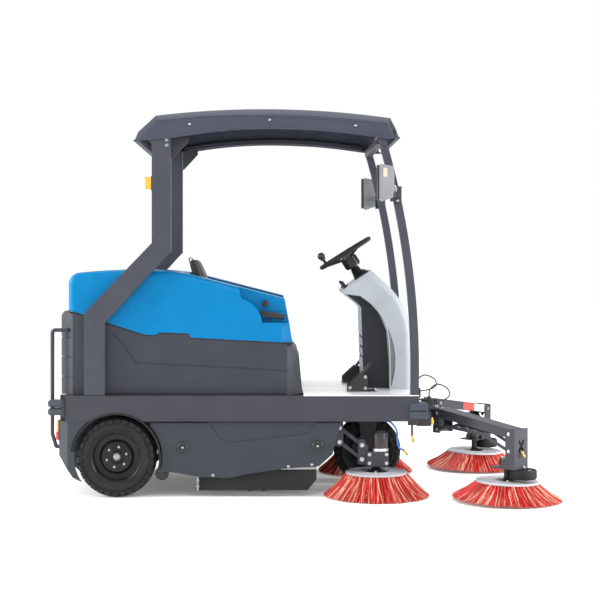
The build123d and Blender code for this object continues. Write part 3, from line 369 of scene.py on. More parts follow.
def finish_nodes(surface, bevel, *names):
    """Give CAD nodes their material, and ease their sharp edges."""
    for name in names:
        for full in [n for n in (name, name + "_right", name + "_left") if n in nodes]:
            made = nodes[full]
            made.data.materials.clear()
            made.data.materials.append(surface)
            if bevel:
                weld = made.modifiers.new("weld", "WELD")
                weld.merge_threshold = 0.00002
                ease = made.modifiers.new("ease", "BEVEL")
                ease.width = bevel / 1000
                ease.segments = 2
                ease.limit_method = "ANGLE"
                ease.angle_limit = radians(35)
                ease.harden_normals = False


finish_nodes(CHARCOAL, 0, "chassis_frame")
finish_nodes(POST, 1.5, "rear_posts", "front_posts")
finish_nodes(CHARCOAL, 1.5, "roof_frame", "swing_bracket", "lift_arm",
             "lower_link", "brush_bracket", "mid_upper_link", "mid_lower_link", "front_fork", "broom_housing")
finish_nodes(CHARCOAL, 0, "rear_guard", "dust_hopper", "seat_base")
finish_nodes(MOULDING, 3, "body_shell", "rear_cover", "side_cover")
finish_nodes(ROOF, 2, "roof_panel")
finish_nodes(BLUE, 3, "hood")
finish_nodes(PLATE, 0, "deck_plate")
finish_nodes(RIM, 1, "transaxle", "rear_rim")
finish_nodes(BUMPER, 0, "corner_bumpers")
finish_nodes(RUBBER, 0, "rubber_skirts")
finish_nodes(CASE, 4, "batteries", "filter_and_fan")
finish_nodes(BLACK, 1, "hood_lock", "spinner_knob", "steering_column", "pedal_base", "main_broom",
             "accelerator_pedal", "brake_pedal")
finish_nodes(RUBBER, 0, "steering_wheel")
finish_nodes(PALE_GREY, 3, "console_shell")
finish_nodes(CHARCOAL, 2, "mid_brush_head")
finish_nodes(SHELL, 4, "mirror")
finish_nodes(AMBER, 1, "lamps")
finish_nodes(RUBBER, 0.8, "guide_roller")


# ---------------------------------------------------------------- wheels


def lug(bm, place, angles, heights, inner, outer, shoulder=0.0):
    """One tread block between two angles; its outer end drops by the shoulder."""
    corners = []
    for r, drop in ((inner, 0), (outer, shoulder)):
        for a in angles:
            for z, cut in zip(heights, (0, drop)):
                corners.append(bm.verts.new(place @ Vector(((r - cut) * cos(a), (r - cut) * sin(a), z))))
    a, b, c, d, e, f, g, h = corners
    for quad in ((a, b, d, c), (e, g, h, f), (a, e, f, b), (c, d, h, g), (a, c, g, e), (b, f, h, d)):
        bm.faces.new(quad)


def tyre(bm, centre, radius, width, bead, pitches):
    """A pneumatic tyre: beaded sidewalls, a shoulder and blocks in four rows."""
    place = Matrix.Translation(centre) @ Matrix.Rotation(radians(90), 4, "X")
    half = width / 2
    section = [(bead - 3, half - 16), (bead + 3, half - 8), (bead + 12, half - 6), (bead + 14, half - 2.5),
               (bead + 20, half - 2.5), (bead + 22, half - 1), (radius - 44, half), (radius - 38, half - 4),
               (radius - 24, half - 4.5), (radius - 17, half - 7), (radius - 10, half - 12), (radius - 8, half - 22),
               (radius - 7, 8), (radius - 10, 5)]
    section += [(r, -z) for r, z in reversed(section)]
    lathe(bm, section, place, 96)
    step = 2 * pi / pitches
    for k in range(pitches):
        for sign, shift in ((1, 0.0), (-1, 0.5)):
            start = (k + shift) * step
            lug(bm, place, (start, start + step * 0.66), (sign * (half - 26), sign * (half + 0.5)),
                radius - 30, radius, 13)
            lug(bm, place, (start + step * 0.3, start + step * 0.95), (sign * 6, sign * (half - 30)),
                radius - 14, radius - 0.3)


REAR_HUB = (-980, -467, 212)
FRONT_HUB = (376, 0, 188)
paired("tyre", lambda bm: tyre(bm, REAR_HUB, 211.5, 104, 132, 30), TYRE, "rear_wheel_{}",
       slot="tyre_rubber", replaces=("rear_tyre_{}",))
bm = bmesh.new()
tyre(bm, FRONT_HUB, 187.5, 100, 118, 28)
piece("front_tyre", bm, TYRE, "front_wheel", slot="tyre_rubber")


def out_of(x, y, z):
    """A frame on the right-hand side face: local Z points away from the machine's middle."""
    return turned((x, y, z), (1, 0, 0), (0, -1, 0))


def front_rim(bm):
    place = turned(FRONT_HUB, (1, 0, 0), (0, -1, 0))
    lathe(bm, [(13, -46), (34, -46), (36, -22), (86, -15), (102, -36), (120, -38), (120, 38), (102, 36),
               (86, 15), (36, 22), (34, 46), (13, 46)], place, 64)


bm = bmesh.new()
front_rim(bm)
piece("front_rim", bm, RIM, "front_wheel", slot="wheel_paint", replaces=("front_wheel",))


def beside_wheel(y, reach=0, angle=0):
    """A frame facing outwards on the rear wheel, at a radius and angle from its centre."""
    return out_of(REAR_HUB[0] + reach * cos(angle), y, REAR_HUB[2] + reach * sin(angle))


def wheel_bolts(bm):
    for k in range(6):
        bolt(bm, beside_wheel(-490.5, 54, radians(60 * k + 17)), 13, washer=False)
    bolt(bm, beside_wheel(-489), 22)


def hub_cap(bm):
    place = beside_wheel(-475)
    lathe(bm, [(22, 0), (33, 0), (33, 9), (30, 12), (25, 13), (22, 11)], place, 40)


def rim_ring(bm):
    """The rolled lip where the tyre's bead sits."""
    place = beside_wheel(-503)
    lathe(bm, [(127, 0), (134.5, 0), (137, 4), (136, 8), (131, 9), (128, 6)], place, 72)
    x, z = REAR_HUB[0] + 112, REAR_HUB[2] + 30
    bar(bm, (x, -488, z), (x, -506, z), 4)


def tip_roller(bm):
    lathe(bm, [(8, -0.5), (33, -0.5), (36.5, 3), (36.5, 19), (33, 22.5), (8, 22.5)], out_of(-742, -456, 122), 40)


paired("tip_roller", tip_roller, BLACK, "chassis", slot="black_rubber")
# A black slab on the side of each rear corner bumper: painted shade where that part of the bumper lies in shadow.
paired("bumper_side_shade", lambda bm: slab(bm, (-1266, -1249), (-530.5, -470), (428, 520), 2), BLACK, "chassis",
       slot="black_rubber")
paired("wheel_bolts", wheel_bolts, STEEL, "rear_wheel_{}", slot="bright_steel")
paired("hub_cap", hub_cap, STEEL, "rear_wheel_{}", slot="bright_steel")
paired("rim_ring", rim_ring, RIM, "rear_wheel_{}", slot="wheel_paint")


# ---------------------------------------------------------------- round brushes


def bristle_piece(name, place, top, reach, body, seed):
    """Tufts of flared strands from three rings of holes under the disc."""
    rng = random.Random(seed)
    verts, faces, values = [], [], []
    for ring, start in enumerate((113, 130, 147, 158)):
        tufts = 46 + 6 * ring
        for t in range(tufts):
            base = 2 * pi * (t + 0.5 * (ring % 2)) / tufts
            shade = rng.random() * 0.35
            for _ in range(13):
                a0 = base + rng.uniform(-0.022, 0.022)
                a1 = a0 + rng.gauss(0, 0.05) + 0.03
                r0 = start + rng.uniform(-5, 5)
                r2 = reach - 62 + 62 * (ring + rng.random()) / 4 - rng.uniform(0, 4)
                r1 = r0 + (r2 - r0) * rng.uniform(0.3, 0.42)
                low = 1.5 + rng.random() ** 2 * 9
                path = ((r0, a0, top, 2.3), (r1, a0 + (a1 - a0) * 0.4, top * 0.58, 2.2), (r2, a1, low, 1.6))
                # About a quarter of the strands take the pale end of the ramp: painted highlight.
                value = min(0.74, shade + rng.random() * 0.4) if rng.random() > 0.26 else 0.9
                n = len(verts)
                for r, a, z, thick in path:
                    centre = Vector((r * cos(a), r * sin(a), z))
                    wide = Vector((-sin(a), cos(a), 0)) * thick
                    deep = Vector((cos(a), sin(a), 0.4)) * thick
                    for offset in (wide - deep * 0.5, -wide - deep * 0.5, deep):
                        verts.append(place @ (centre + offset))
                        values.append(value)
                for step in (0, 3):
                    for k in range(3):
                        j = (k + 1) % 3
                        faces.append((n + step + k, n + step + j, n + step + 3 + j, n + step + 3 + k))
                faces.append((n + 8, n + 7, n + 6))
    mesh = bpy.data.meshes.new(name)
    mesh.from_pydata(verts, [], faces)
    mesh.attributes.new("strand", "FLOAT", "POINT").data.foreach_set("value", values)
    mesh.materials.append(BRISTLES)
    mesh.update()
    made = bpy.data.objects.new(name, mesh)
    bpy.context.scene.collection.objects.link(made)
    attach(made, body)
    return made


def brush_disc(bm, top, thick=12):
    """The disc with a rolled rim and a ring of stiffening ribs."""
    low = top - thick
    lathe(bm, [(30, low), (158, low), (165, low + 3), (165, top - 4), (161, top), (150, top), (146, top - 2.5),
               (76, top - 2.5), (70, top), (30, top)], Matrix(), 72)
    for k in range(12):
        place = Matrix.Rotation(k * pi / 6, 4, "Z")
        slab(bm, (78, 145), (-3, 3), (top - 4, top - 0.4), 0, place)


def brush_bolts(bm, top):
    for k in range(3):
        place = Matrix.Rotation(k * 2 * pi / 3 + 0.4, 4, "Z") @ Matrix.Translation((52, 0, top - 0.5))
        bolt(bm, place, 13)


def brush_hub(bm, top, hub_top):
    lathe(bm, [(0.01, top - 2), (62, top - 2), (62, top), (40, top + 1), (34, top + 4), (26, hub_top - 4),
               (18, hub_top), (0.01, hub_top)], Matrix(), 40)


def brush_root(bm, top, reach):
    """The dense inner bristles that close the gaps between the strands."""
    lathe(bm, [(106, top), (150, top), (188, top * 0.52), (reach - 26, 6), (reach - 56, 5), (140, top * 0.5)],
          Matrix(), 64)


lean = Matrix.Translation((1065, -585, 288 * sin(radians(1.5)))) @ Matrix.Rotation(radians(1.5), 4, "Y")
MID = Matrix.Translation((395, -440, 0))
for kind, local, top, reach, hub_top in (("front_brush", lean, 98, 288, 110), ("mid_brush", MID, 130, 282, 150)):
    for index, (side, sign) in enumerate(SIDES):
        body = f"{kind}_{side}"
        bristle_piece(f"{kind}_bristles_{side}", layout(sign) @ local, top - 10, reach, body, 7 + index + top)
        for label, build, surface, slot_name in (
                ("disc", lambda bm: brush_disc(bm, top), DISC, "light_grey_moulding"),
                ("bolts", lambda bm: brush_bolts(bm, top), ZINC, "bright_steel"),
                ("hub", lambda bm: brush_hub(bm, top, hub_top), BLACK, "black_plastic"),
                ("root", lambda bm: brush_root(bm, top - 12, reach), BRISTLE_ROOT, "red_bristle")):
            bm = bmesh.new()
            build(bm)
            made = piece(f"{kind}_{label}_{side}", bm, surface, body, place=layout(sign) @ local, slot=slot_name)
            if label == "disc":
                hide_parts(body)


# ---------------------------------------------------------------- seat


def pad(name, outline_points, half_width, node, cap, pinch=()):
    """A stuffed vinyl pad: a slightly small form, swollen by cloth pressure, then seamed."""
    bm = bmesh.new()
    prism(bm, outline_points, (-half_width, half_width), 14, 2)
    bm.transform(layout())
    bmesh.ops.recalc_face_normals(bm, faces=bm.faces)
    mesh = bpy.data.meshes.new(name)
    bm.to_mesh(mesh)
    bm.free()
    made = bpy.data.objects.new(name, mesh)
    bpy.context.scene.collection.objects.link(made)
    bpy.context.view_layer.objects.active = made
    remesh = made.modifiers.new("voxels", "REMESH")
    remesh.mode = "VOXEL"
    remesh.voxel_size = 0.007
    with bpy.context.temp_override(object=made, active_object=made):
        bpy.ops.object.modifier_apply(modifier=remesh.name)
    start = [v.co.copy() for v in made.data.vertices]
    cloth = made.modifiers.new("cloth", "CLOTH")
    cloth.settings.use_pressure = True
    cloth.settings.uniform_pressure_force = 4
    cloth.settings.effector_weights.gravity = 0
    cloth.settings.quality = 4
    for n in range(1, 21):
        bpy.context.scene.frame_set(n)
    with bpy.context.temp_override(object=made, active_object=made):
        bpy.ops.object.modifier_apply(modifier=cloth.name)
    bpy.context.scene.frame_set(1)
    middle = sum((v.co for v in made.data.vertices), Vector()) / len(made.data.vertices)
    for v, before in zip(made.data.vertices, start):
        move = v.co - before
        if move.length > cap:
            v.co = before + move * (cap / move.length)
        for line in pinch:
            near = abs(v.co.y - line)
            if near < 0.012:
                inward = (middle - v.co)
                inward.y = 0
                v.co += inward.normalized() * 0.006 * (1 - near / 0.012) ** 2
    for polygon in made.data.polygons:
        polygon.use_smooth = True
    smooth = made.modifiers.new("subdivide", "SUBSURF")
    smooth.levels = 1
    smooth.render_levels = 1
    made.data.materials.clear()
    made.data.materials.append(VINYL)
    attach(made, "seat")
    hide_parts(node)
    return made


pad("seat_cushion_pad", [(-472, 932), (-88, 932), (-82, 984), (-112, 996), (-464, 986)], 208, "seat_cushion",
    0.009, (-0.13, 0.13))
pad("seat_back_pad", [(-503, 1006), (-533, 993), (-613, 1248), (-603, 1261), (-580, 1256), (-516, 1112)], 193,
    "seat_back", 0.008, (-0.12, 0.12))


def seat_piping(bm):
    pipe(bm, curve_points([(-477, -202, 990), (-300, -208, 996), (-112, -202, 1000), (-90, -150, 1000),
                           (-86, 0, 1002), (-90, 150, 1000), (-112, 202, 1000), (-300, 208, 996),
                           (-477, 202, 990)], 60), 3.2, 8)
    pipe(bm, curve_points([(-530, -190, 1010), (-572, -194, 1120), (-612, -186, 1246), (-616, -120, 1262),
                           (-616, 120, 1262), (-612, 186, 1246), (-572, 194, 1120), (-530, 190, 1010)], 60), 3.2, 8)


bm = bmesh.new()
seat_piping(bm)
piece("seat_piping", bm, BLACK, "seat", slot="seat_vinyl")


# ---------------------------------------------------------------- roof and posts


def roof_lip(bm):
    """The rolled edge along the bottom of the roof's skirt."""
    side = curve_points([(-690, -525, 1897), (-430, -525, 1932), (-170, -525, 1944), (135, -525, 1932),
                         (440, -525, 1894)], 28)
    near = [Vector((-884, -525, 1881)), *side, Vector((511, -525, 1895))]
    far = [Vector((p.x, -p.y, p.z)) for p in reversed(near)]
    pipe(bm, near + far, 4.2, 8, closed=True)


def roof_band(bm):
    """The raised band under the roof's bevel, on the right."""
    upper = curve_points([(-775, -526, 1986), (-303, -526, 2013), (455, -526, 1972)], 24)
    pipe(bm, upper, 2.6, 8)


def roof_fixings(bm, base, radius, height):
    for x, z in ((-593, 1967), (-171, 1989), (280, 1959)):
        stud(bm, out_of(x, -525 - base, z), radius, height)


def post_bolts(bm):
    for z in (1857, 1885):
        bolt(bm, out_of(-714, -516, z), 10)


def clamp_bolts(bm, base, radius, height):
    for x, z in ((491, 1617), (502, 1564)):
        stud(bm, out_of(x, -524 - base, z), radius, height)


bm = bmesh.new()
roof_lip(bm)
piece("roof_lip", bm, ROOF, "chassis", slot="grey_moulding")
paired("roof_band", roof_band, ROOF, "chassis", slot="grey_moulding")
paired("roof_washers", lambda bm: roof_fixings(bm, 0, 12, 2.5), BLACK, "chassis", slot="black_plastic")
paired("roof_bolts", lambda bm: roof_fixings(bm, 2, 7, 5), ZINC, "chassis", slot="bright_steel")
paired("post_bolts", post_bolts, ZINC, "chassis", slot="bright_steel")
paired("clamp_washers", lambda bm: clamp_bolts(bm, 0, 15, 4), BLACK, "chassis", slot="black_plastic")
paired("clamp_bolts", lambda bm: clamp_bolts(bm, 3, 7, 5), ZINC, "chassis", slot="bright_steel")


def lamp_base(bm):
    slab(bm, (-797, -792.5), (-511, -477), (1619, 1696), 1.5)
    for z in range(1632, 1690, 9):
        slab(bm, (-829, -826), (-507, -481), (z, z + 3), 0.8)


def tail_red(bm):
    slab(bm, (-1304.2, -1288), (-469, -443.5), (299, 345), 4)


def tail_frame(bm):
    slab(bm, (-1291, -1286.5), (-472, -441), (295, 405), 1.5)


paired("lamp_base", lamp_base, BLACK, "chassis", slot="black_plastic")
paired("tail_red", tail_red, RED, "chassis", slot="amber_lens")
paired("tail_frame", tail_frame, BLACK, "chassis", slot="black_plastic")


# ---------------------------------------------------------------- mirrors


def mirror_rim(bm):
    for z in ((1566, 1573), (1737, 1745)):
        slab(bm, (385, 396), (-643, -587), z, 2.5)
    for y in ((-643, -637), (-593, -587)):
        slab(bm, (385, 396), y, (1566, 1745), 2.5)


def mirror_glass(bm):
    slab(bm, (386.5, 388), (-638, -592), (1572, 1738), 0.4)


def mirror_back(bm):
    slab(bm, (466, 474.5), (-632, -598), (1600, 1716), 3)


paired("mirror_rim", mirror_rim, BLACK, "mirror_{}", slot="black_plastic")
paired("mirror_glass", mirror_glass, GLASS, "mirror_{}", slot="mirror_housing")
paired("mirror_back", mirror_back, SHELL, "mirror_{}", slot="mirror_housing")
paired("mirror_reflector", lambda bm: slab(bm, (417, 437), (-641.5, -638), (1684, 1729), 1), PEACH, "mirror_{}",
       slot="mirror_housing")
paired("mirror_nut", lambda bm: bolt(bm, Matrix.Translation((480, -566, 1637)), 13), ZINC, "mirror_{}",
       slot="bright_steel")


# ---------------------------------------------------------------- hood and body


SEAM = [(-50, 812), (-591, 840), (-602, 862), (-755, 868), (-775, 853), (-832, 855), (-1045, 923), (-1212, 979)]


def seal(bm):
    """The rubber seal in the gap between the hood and the body."""
    pipe(bm, [(x, -463.5, z - 2.5) for x, z in SEAM], 4.4, 8)


def seal_end(bm):
    dome(bm, out_of(-66, -464, 803), 9, 5)


def hood_crease(bm):
    pipe(bm, [(-949, -465.2, 1040), (-880, -465.2, 940), (-118, -465.2, 868)], 1.9, 8)


def body_crease(bm):
    pipe(bm, [(-985, -470, 846), (-880, -470, 706), (-60, -470, 664)], 2, 8)


def grip_sleeve(bm):
    place = Matrix.Translation((-160, -428.3, 959)) @ Matrix.Rotation(radians(7), 4, "Y")
    slab(bm, (-70, 70), (-9.8, 9.8), (-15.5, 15.5), 6, place, 3)


def lock_face(bm):
    place = out_of(-194, -424, 1020)
    lathe(bm, [(0.01, 0), (16, 0), (16, 3), (14, 5), (0.01, 5)], place, 28)


paired("hood_seal", seal, RUBBER, "hood", slot="black_rubber")
paired("seal_end", seal_end, RUBBER, "chassis", slot="black_rubber")
paired("hood_crease", hood_crease, BLUE, "hood", slot="blue_moulding")
paired("body_crease", body_crease, MOULDING, "chassis", slot="grey_moulding")
bm = bmesh.new()
grip_sleeve(bm)
piece("grip_sleeve", bm, BLACK, "hood", slot="black_plastic")
bm = bmesh.new()
lock_face(bm)
piece("lock_face", bm, BLACK, "hood_lock", slot="black_plastic")


def cover_knobs(bm):
    for x, z in ((-629, 265), (81, 273)):
        place = out_of(x, -519.5, z)
        lathe(bm, [(0.01, 0), (29, 0), (29.5, 3), (27, 5.5), (21, 4.5), (17, 2), (11, 2), (10, 6), (0.01, 6)],
              place, 40)
        for k in range(10):
            turn = place @ Matrix.Rotation(k * pi / 5, 4, "Z")
            slab(bm, (20, 27.5), (-2, 2), (3, 7), 0.8, turn, 1)


def knob_centres(bm):
    for x, z in ((-629, 265), (81, 273)):
        dome(bm, out_of(x, -525, z), 5.5, 3)


def cover_screws(bm):
    for x, z in ((-73, 165), (51, 174), (-470, 118)):
        dome(bm, out_of(x, -512, z), 8, 4)


paired("cover_knobs", cover_knobs, BLACK, "side_cover_{}", slot="black_plastic")
paired("knob_centres", knob_centres, ZINC, "side_cover_{}", slot="bright_steel")
paired("cover_screws", cover_screws, STEEL, "side_cover_{}", slot="bright_steel")


def dark_arch_bead(bm):
    """A dark round bead along the edge of the wheel arch."""
    points = []
    for k in range(33):
        a = radians(-14.5 + 184.8 * k / 32)
        points.append((REAR_HUB[0] + 231 * cos(a), -524, REAR_HUB[2] + 231 * sin(a)))
    pipe(bm, points, 5, 8)


def skirt_strip(bm):
    slab(bm, (-556, -546), (-490, -485), (34, 150), 1)
    slab(bm, (-552, 74), (-489, -485), (146, 160), 1)
    for k in range(7):
        place = turned((-551, -491, 42 + k * 15), (0, 0, 1), (0, -1, 0) if k % 2 else (1, 0, 0))
        lathe(bm, [(5, -1.6), (8.2, -1.6), (8.2, 1.6), (5, 1.6)], place, 12)


paired("dark_arch_bead", dark_arch_bead, RUBBER, "chassis", slot="black_rubber")
paired("skirt_strip", skirt_strip, STEEL, "chassis", slot="bright_steel")


# ---------------------------------------------------------------- console and controls


FIELD = [(488, 545), (486, 700), (472, 860), (420, 985), (330, 1050), (256, 1060), (316, 1012), (336, 990), (349, 545)]


def console_field(bm):
    prism(bm, FIELD, (-138, -134.5), 0.8, 1)


def console_trim(bm):
    """The rounded bead that borders the sunk field."""
    edge = curve_points([(490, -188, 545), (488, -188, 720), (475, -188, 865), (423, -188, 985), (330, -188, 1055)], 30)
    pipe(bm, edge, 4, 8)


def switches(bm):
    for x, z, y, tall in ((250, 1101, -110, 34), (366, 1182, -85, 16), (250, 1101, 110, 34), (366, 1182, 85, 16)):
        place = turned((x, y, z), (0, 1, 0), (-0.57, 0, 0.82))
        lathe(bm, [(0.01, 0), (17, 0), (17, 4), (12, 8), (0.01, 8)], place, 24)
        lathe(bm, [(0.01, 6), (7, 6), (8.5, tall), (6, tall + 5), (0.01, tall + 6)], place, 20)


COLUMN_AXIS = Vector((-sin(radians(32)), 0, cos(radians(32))))
WHEEL_CENTRE = Vector((254, 0, 1291))


def gaiter(bm):
    """The ribbed boot between the steering column and the wheel's hub."""
    place = turned(WHEEL_CENTRE - COLUMN_AXIS * 172, (0, 1, 0), COLUMN_AXIS)
    profile = [(16, 0)]
    for k in range(7):
        profile += [(40 - 2 * k, 3 + 11 * k), (33 - 2 * k, 9 + 11 * k)]
    lathe(bm, profile + [(24, 82), (16, 82)], place, 36)


def wheel_hub(bm):
    place = turned(WHEEL_CENTRE - COLUMN_AXIS * 92, (0, 1, 0), COLUMN_AXIS)
    lathe(bm, [(20, 0), (38, 0), (41, 8), (41, 62), (36, 74), (20, 79), (0.01, 80), (0.01, 76), (20, 70)], place, 40)
    for k in range(12):
        slab(bm, (39, 46), (-2.5, 2.5), (8, 58), 0.8, place @ Matrix.Rotation(k * pi / 6, 4, "Z"), 1)


for label, build, surface, slot_name in (("console_field", console_field, DARK_GREY, "grey_moulding"),
                                         ("console_trim", console_trim, PALE_GREY, "light_grey_moulding")):
    paired(label, build, surface, "chassis", slot=slot_name)
for label, build, surface, body, slot_name in (
        ("switches", switches, BLACK, "chassis", "black_plastic"),
        ("column_gaiter", gaiter, RUBBER, "chassis", "black_rubber"),
        ("wheel_hub", wheel_hub, BLACK, "steering_wheel", "black_plastic")):
    bm = bmesh.new()
    build(bm)
    piece(label, bm, surface, body, slot=slot_name)


def pedal_bolts(bm):
    for x, z in ((262, 562), (345, 560), (345, 620)):
        bolt(bm, out_of(x, -319, z), 10)
    for x in (256, 402):
        for y in (-312, -238):
            bolt(bm, Matrix.Translation((x, y, 547)), 11)


def pedal_ribs(bm, y):
    place = Matrix.Translation((300, y, 578)) @ Matrix.Rotation(radians(38), 4, "Y")
    for k in range(7):
        slab(bm, (-19, -15.5), (-25, 25), (22 + 16 * k, 30 + 16 * k), 1, place)


paired("pedal_bolts", pedal_bolts, ZINC, "chassis", slot="bright_steel")
for body, y in (("accelerator_pedal", -275), ("brake_pedal", 275)):
    bm = bmesh.new()
    pedal_ribs(bm, y)
    piece(f"{body}_ribs", bm, RUBBER, body, slot="black_rubber")


# ---------------------------------------------------------------- front brush arms


def on_arm(build):
    """A piece built in the arm's own frame: X out along the arm, Z up."""
    def moved(bm):
        build(bm)
        bm.transform(ARM)
    return moved


def along_arm(u):
    """The height of the arm's middle line at a distance out."""
    return 425 - (u - 58) * 71 / 480


def tape(bm, start, end):
    """A block of reflective tape on the arm's inner face."""
    corners = [(u, along_arm(u) + dz) for u, dz in ((start, -21), (end, -21), (end, 21), (start, 21))]
    prism(bm, corners, (48.2, 50.2))


def swing_bolts(bm):
    for u, z, s in ((58, 425, -1), (58, 336, -1), (58, 425, 1), (58, 336, 1)):
        bolt(bm, turned((u, 60 * s, z), (1, 0, 0), (0, s, 0)), 12)
    bolt(bm, Matrix.Translation((0, 0, 449)), 20)


def bracket_bolts(bm):
    for u, z in ((538, 354), (538, 265)):
        for s in (-1, 1):
            bolt(bm, turned((u, 60 * s, z), (1, 0, 0), (0, s, 0)), 11)
    bolt(bm, Matrix.Translation((570, 22, 177)), 18)


def nozzle(bm, start, direction, size=1.0):
    """A brass spray nozzle: a hexagon, a neck and a tip."""
    place = turned(start, (0, 1, 0.01), direction)
    hexagon(bm, place, 17 * size, 9 * size)
    lathe(bm, [(0.01, 8 * size), (6 * size, 8 * size), (6 * size, 20 * size), (8 * size, 21 * size),
               (8 * size, 29 * size), (4 * size, 34 * size), (0.01, 34 * size)], place, 20)


def front_motor(bm):
    place = Matrix.Translation((BRUSH_REACH, 0, 176))
    lathe(bm, [(0.01, 0), (38.2, 0), (38.6, 4), (38.6, 38), (36, 43), (30, 46), (0.01, 46.5)], place, 44)
    for k in range(16):
        slab(bm, (37, 41), (-1.6, 1.6), (6, 36), 0.5, place @ Matrix.Rotation(k * pi / 8, 4, "Z"), 1)


def front_motor_cap(bm):
    place = Matrix.Translation((BRUSH_REACH, 0, 222))
    lathe(bm, [(0.01, 0), (20, 0), (20, 5), (17, 8), (0.01, 8)], place, 28)
    for k in range(4):
        bolt(bm, place @ Matrix.Rotation(k * pi / 2, 4, "Z") @ Matrix.Translation((27, 0, -1)), 8)


def roller_band(bm):
    place = Matrix.Translation((570, 22, 144))
    lathe(bm, [(30, 13), (51, 13), (51, 16.5), (30, 16.5)], place, 48)
    lathe(bm, [(30, -16.5), (51, -16.5), (51, -13), (30, -13)], place, 48)


paired("tape_white", on_arm(lambda bm: tape(bm, 415, 525)), WHITE_TAPE, "lift_arm_{}", slot="light_grey_moulding")
paired("tape_red", on_arm(lambda bm: tape(bm, 300, 415)), RED_TAPE, "lift_arm_{}", slot="red_bristle")
paired("swing_bolts", on_arm(swing_bolts), ZINC, "swing_bracket_{}", slot="bright_steel")
paired("bracket_bolts", on_arm(bracket_bolts), ZINC, "brush_bracket_{}", slot="bright_steel")
paired("bracket_nozzle", on_arm(lambda bm: nozzle(bm, (576, 0, 262), (0.55, 0, -0.8))), BRASS,
       "brush_bracket_{}", slot="bright_steel")
paired("front_motor", on_arm(front_motor), MOTOR, "brush_bracket_{}", slot="black_plastic")
paired("front_motor_cap", on_arm(front_motor_cap), ALUMINIUM, "brush_bracket_{}", slot="bright_steel")
paired("roller_band", on_arm(roller_band), ALUMINIUM, "guide_roller_{}", slot="bright_steel")


def actuator(bm):
    """The black lift motor and its tube beside the arm's root."""
    slab(bm, (668, 712), (-345, -303), (446, 504), 6)
    bar(bm, (690, -324, 504), (690, -324, 516), 11)


def valve(bm):
    slab(bm, (690, 706), (-402, -362), (372, 398), 3)
    bar(bm, (698, -382, 396), (698, -382, 408), 6)


def cable_loop(bm):
    pipe(bm, curve_points([(690, -324, 512), (694, -318, 552), (734, -306, 580), (785, -300, 562),
                           (804, -304, 526), (774, -318, 498), (712, -330, 484)], 36), 3.6, 10)


def front_cross_bolts(bm):
    for y in (-150, -60, 60, 150):
        bolt(bm, turned((690, y, 403), (0, 1, 0), (1, 0, 0)), 13)


paired("lift_actuator", actuator, BLACK, "chassis", slot="black_plastic")
paired("valve_block", valve, YELLOW, "chassis", slot="amber_lens")
paired("cable_loop", cable_loop, BLACK, "chassis", slot="black_rubber")
paired("carrier_bolts", front_cross_bolts, ZINC, "chassis", slot="bright_steel")


# ---------------------------------------------------------------- side brush heads


def head_motor(bm):
    place = Matrix.Translation((415, -440, 239))
    lathe(bm, [(0.01, 12), (39.6, 12), (39.6, 80), (37, 86), (39.6, 90), (38, 97.5), (25, 99.5), (24.5, 104),
               (20, 107.2), (0.01, 107.5)], place, 48)


def head_collar(bm):
    place = Matrix.Translation((415, -440, 239))
    lathe(bm, [(0.01, -0.5), (44, -0.5), (44, 8), (41, 14), (0.01, 14)], place, 48)
    for k in range(4):
        bolt(bm, place @ Matrix.Rotation(pi / 4 + k * pi / 2, 4, "Z") @ Matrix.Translation((41, 0, 6)), 8)


def head_bolts(bm):
    for x, z in ((356, 224), (446, 224), (356, 178), (446, 178)):
        bolt(bm, out_of(x, -485, z), 11)
    for x, z in ((317, 272), (317, 197)):
        bolt(bm, out_of(x, -474, z), 14)


def hanger_bolts(bm):
    for z in (363.5, 288.5):
        bolt(bm, out_of(198.2, -474, z), 14)


def water_hose(bm):
    pipe(bm, curve_points([(430, -470, 402), (470, -478, 392), (500, -482, 350), (504, -482, 300),
                           (512, -480, 262), (540, -476, 246)], 40), 5, 10)


def spray_head(bm):
    slab(bm, (560, 604), (-484, -466), (378, 403), 2)
    bar(bm, (582, -475, 380), (582, -475, 318), 6)


def spray_tips(bm):
    nozzle(bm, (582, -475, 324), (0.25, 0, -1), 1.1)
    nozzle(bm, (536, -476, 250), (0.7, 0, -0.75), 1.1)


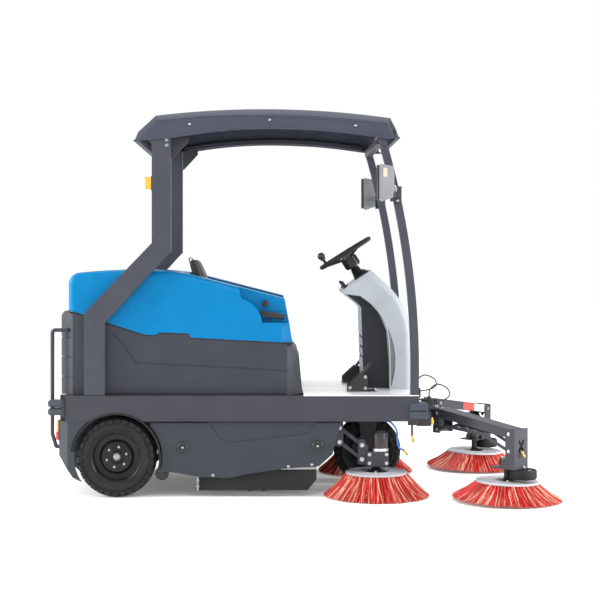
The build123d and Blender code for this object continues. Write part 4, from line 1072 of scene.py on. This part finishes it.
paired("head_motor", head_motor, MOTOR, "mid_brush_head_{}", slot="black_plastic")
paired("head_collar", head_collar, ALUMINIUM, "mid_brush_head_{}", slot="bright_steel")
paired("head_bolts", head_bolts, ZINC, "mid_brush_head_{}", slot="bright_steel")
paired("hanger_bolts", hanger_bolts, ZINC, "chassis", slot="bright_steel")
paired("water_hose", water_hose, HOSE, "chassis", slot="blue_moulding")
paired("spray_mount", spray_head, CHARCOAL, "chassis", slot="charcoal_paint")
paired("spray_tips", spray_tips, BRASS, "chassis", slot="bright_steel")


# ---------------------------------------------------------------- stage, light and camera


def flat_material(name, colour, rough):
    made = bpy.data.materials.new(name)
    made.use_nodes = True
    shader = made.node_tree.nodes["Principled BSDF"]
    shader.inputs["Base Color"].default_value = (*colour, 1)
    shader.inputs["Roughness"].default_value = rough
    shader.inputs["Emission Color"].default_value = (1, 1, 1, 1)
    shader.inputs["Emission Strength"].default_value = 0.12
    return made


bpy.ops.mesh.primitive_plane_add(size=60, location=(0, 0, -0.0005))
floor = bpy.context.active_object
floor.name = "floor"
floor.data.materials.append(flat_material("floor", (0.93, 0.93, 0.93), 0.6))

scene = bpy.context.scene
scene.view_settings.view_transform = "Standard"
world = bpy.data.worlds.new("studio")
scene.world = world
world.use_nodes = True
world.node_tree.nodes["Background"].inputs["Color"].default_value = (1.0, 1.0, 1.0, 1)
world.node_tree.nodes["Background"].inputs["Strength"].default_value = 1.0


def area_light(name, place, target, size, power):
    data = bpy.data.lights.new(name, "AREA")
    data.shape = "RECTANGLE"
    data.size, data.size_y = size
    data.energy = power
    made = bpy.data.objects.new(name, data)
    made.location = place
    made.rotation_euler = (Vector(target) - Vector(place)).to_track_quat("-Z", "Y").to_euler()
    scene.collection.objects.link(made)


area_light("key", (1.5, -4.5, 5.5), (0, 0, 0.9), (3.5, 3.0), 120)
area_light("fill", (-4.5, -5.0, 2.5), (0, 0, 0.8), (3.0, 3.0), 30)
area_light("top", (0.0, 0.5, 6.0), (0, 0, 1.0), (5.0, 4.0), 150)
area_light("left", (-5.0, -1.5, 2.0), (0, 0, 0.9), (1.5, 3.0), 260)
area_light("right", (5.0, -1.5, 2.0), (0, 0, 0.9), (1.5, 3.0), 260)

camera = bpy.data.cameras.new("camera")
camera.sensor_width = 36
camera.lens = 84
camera.shift_x = 0.05
camera.shift_y = -0.065
eye = bpy.data.objects.new("camera", camera)
eye.location = (-0.1759, -7.885, 1.247)
eye.rotation_euler = (radians(90), 0, 0)
scene.collection.objects.link(eye)
scene.camera = eye
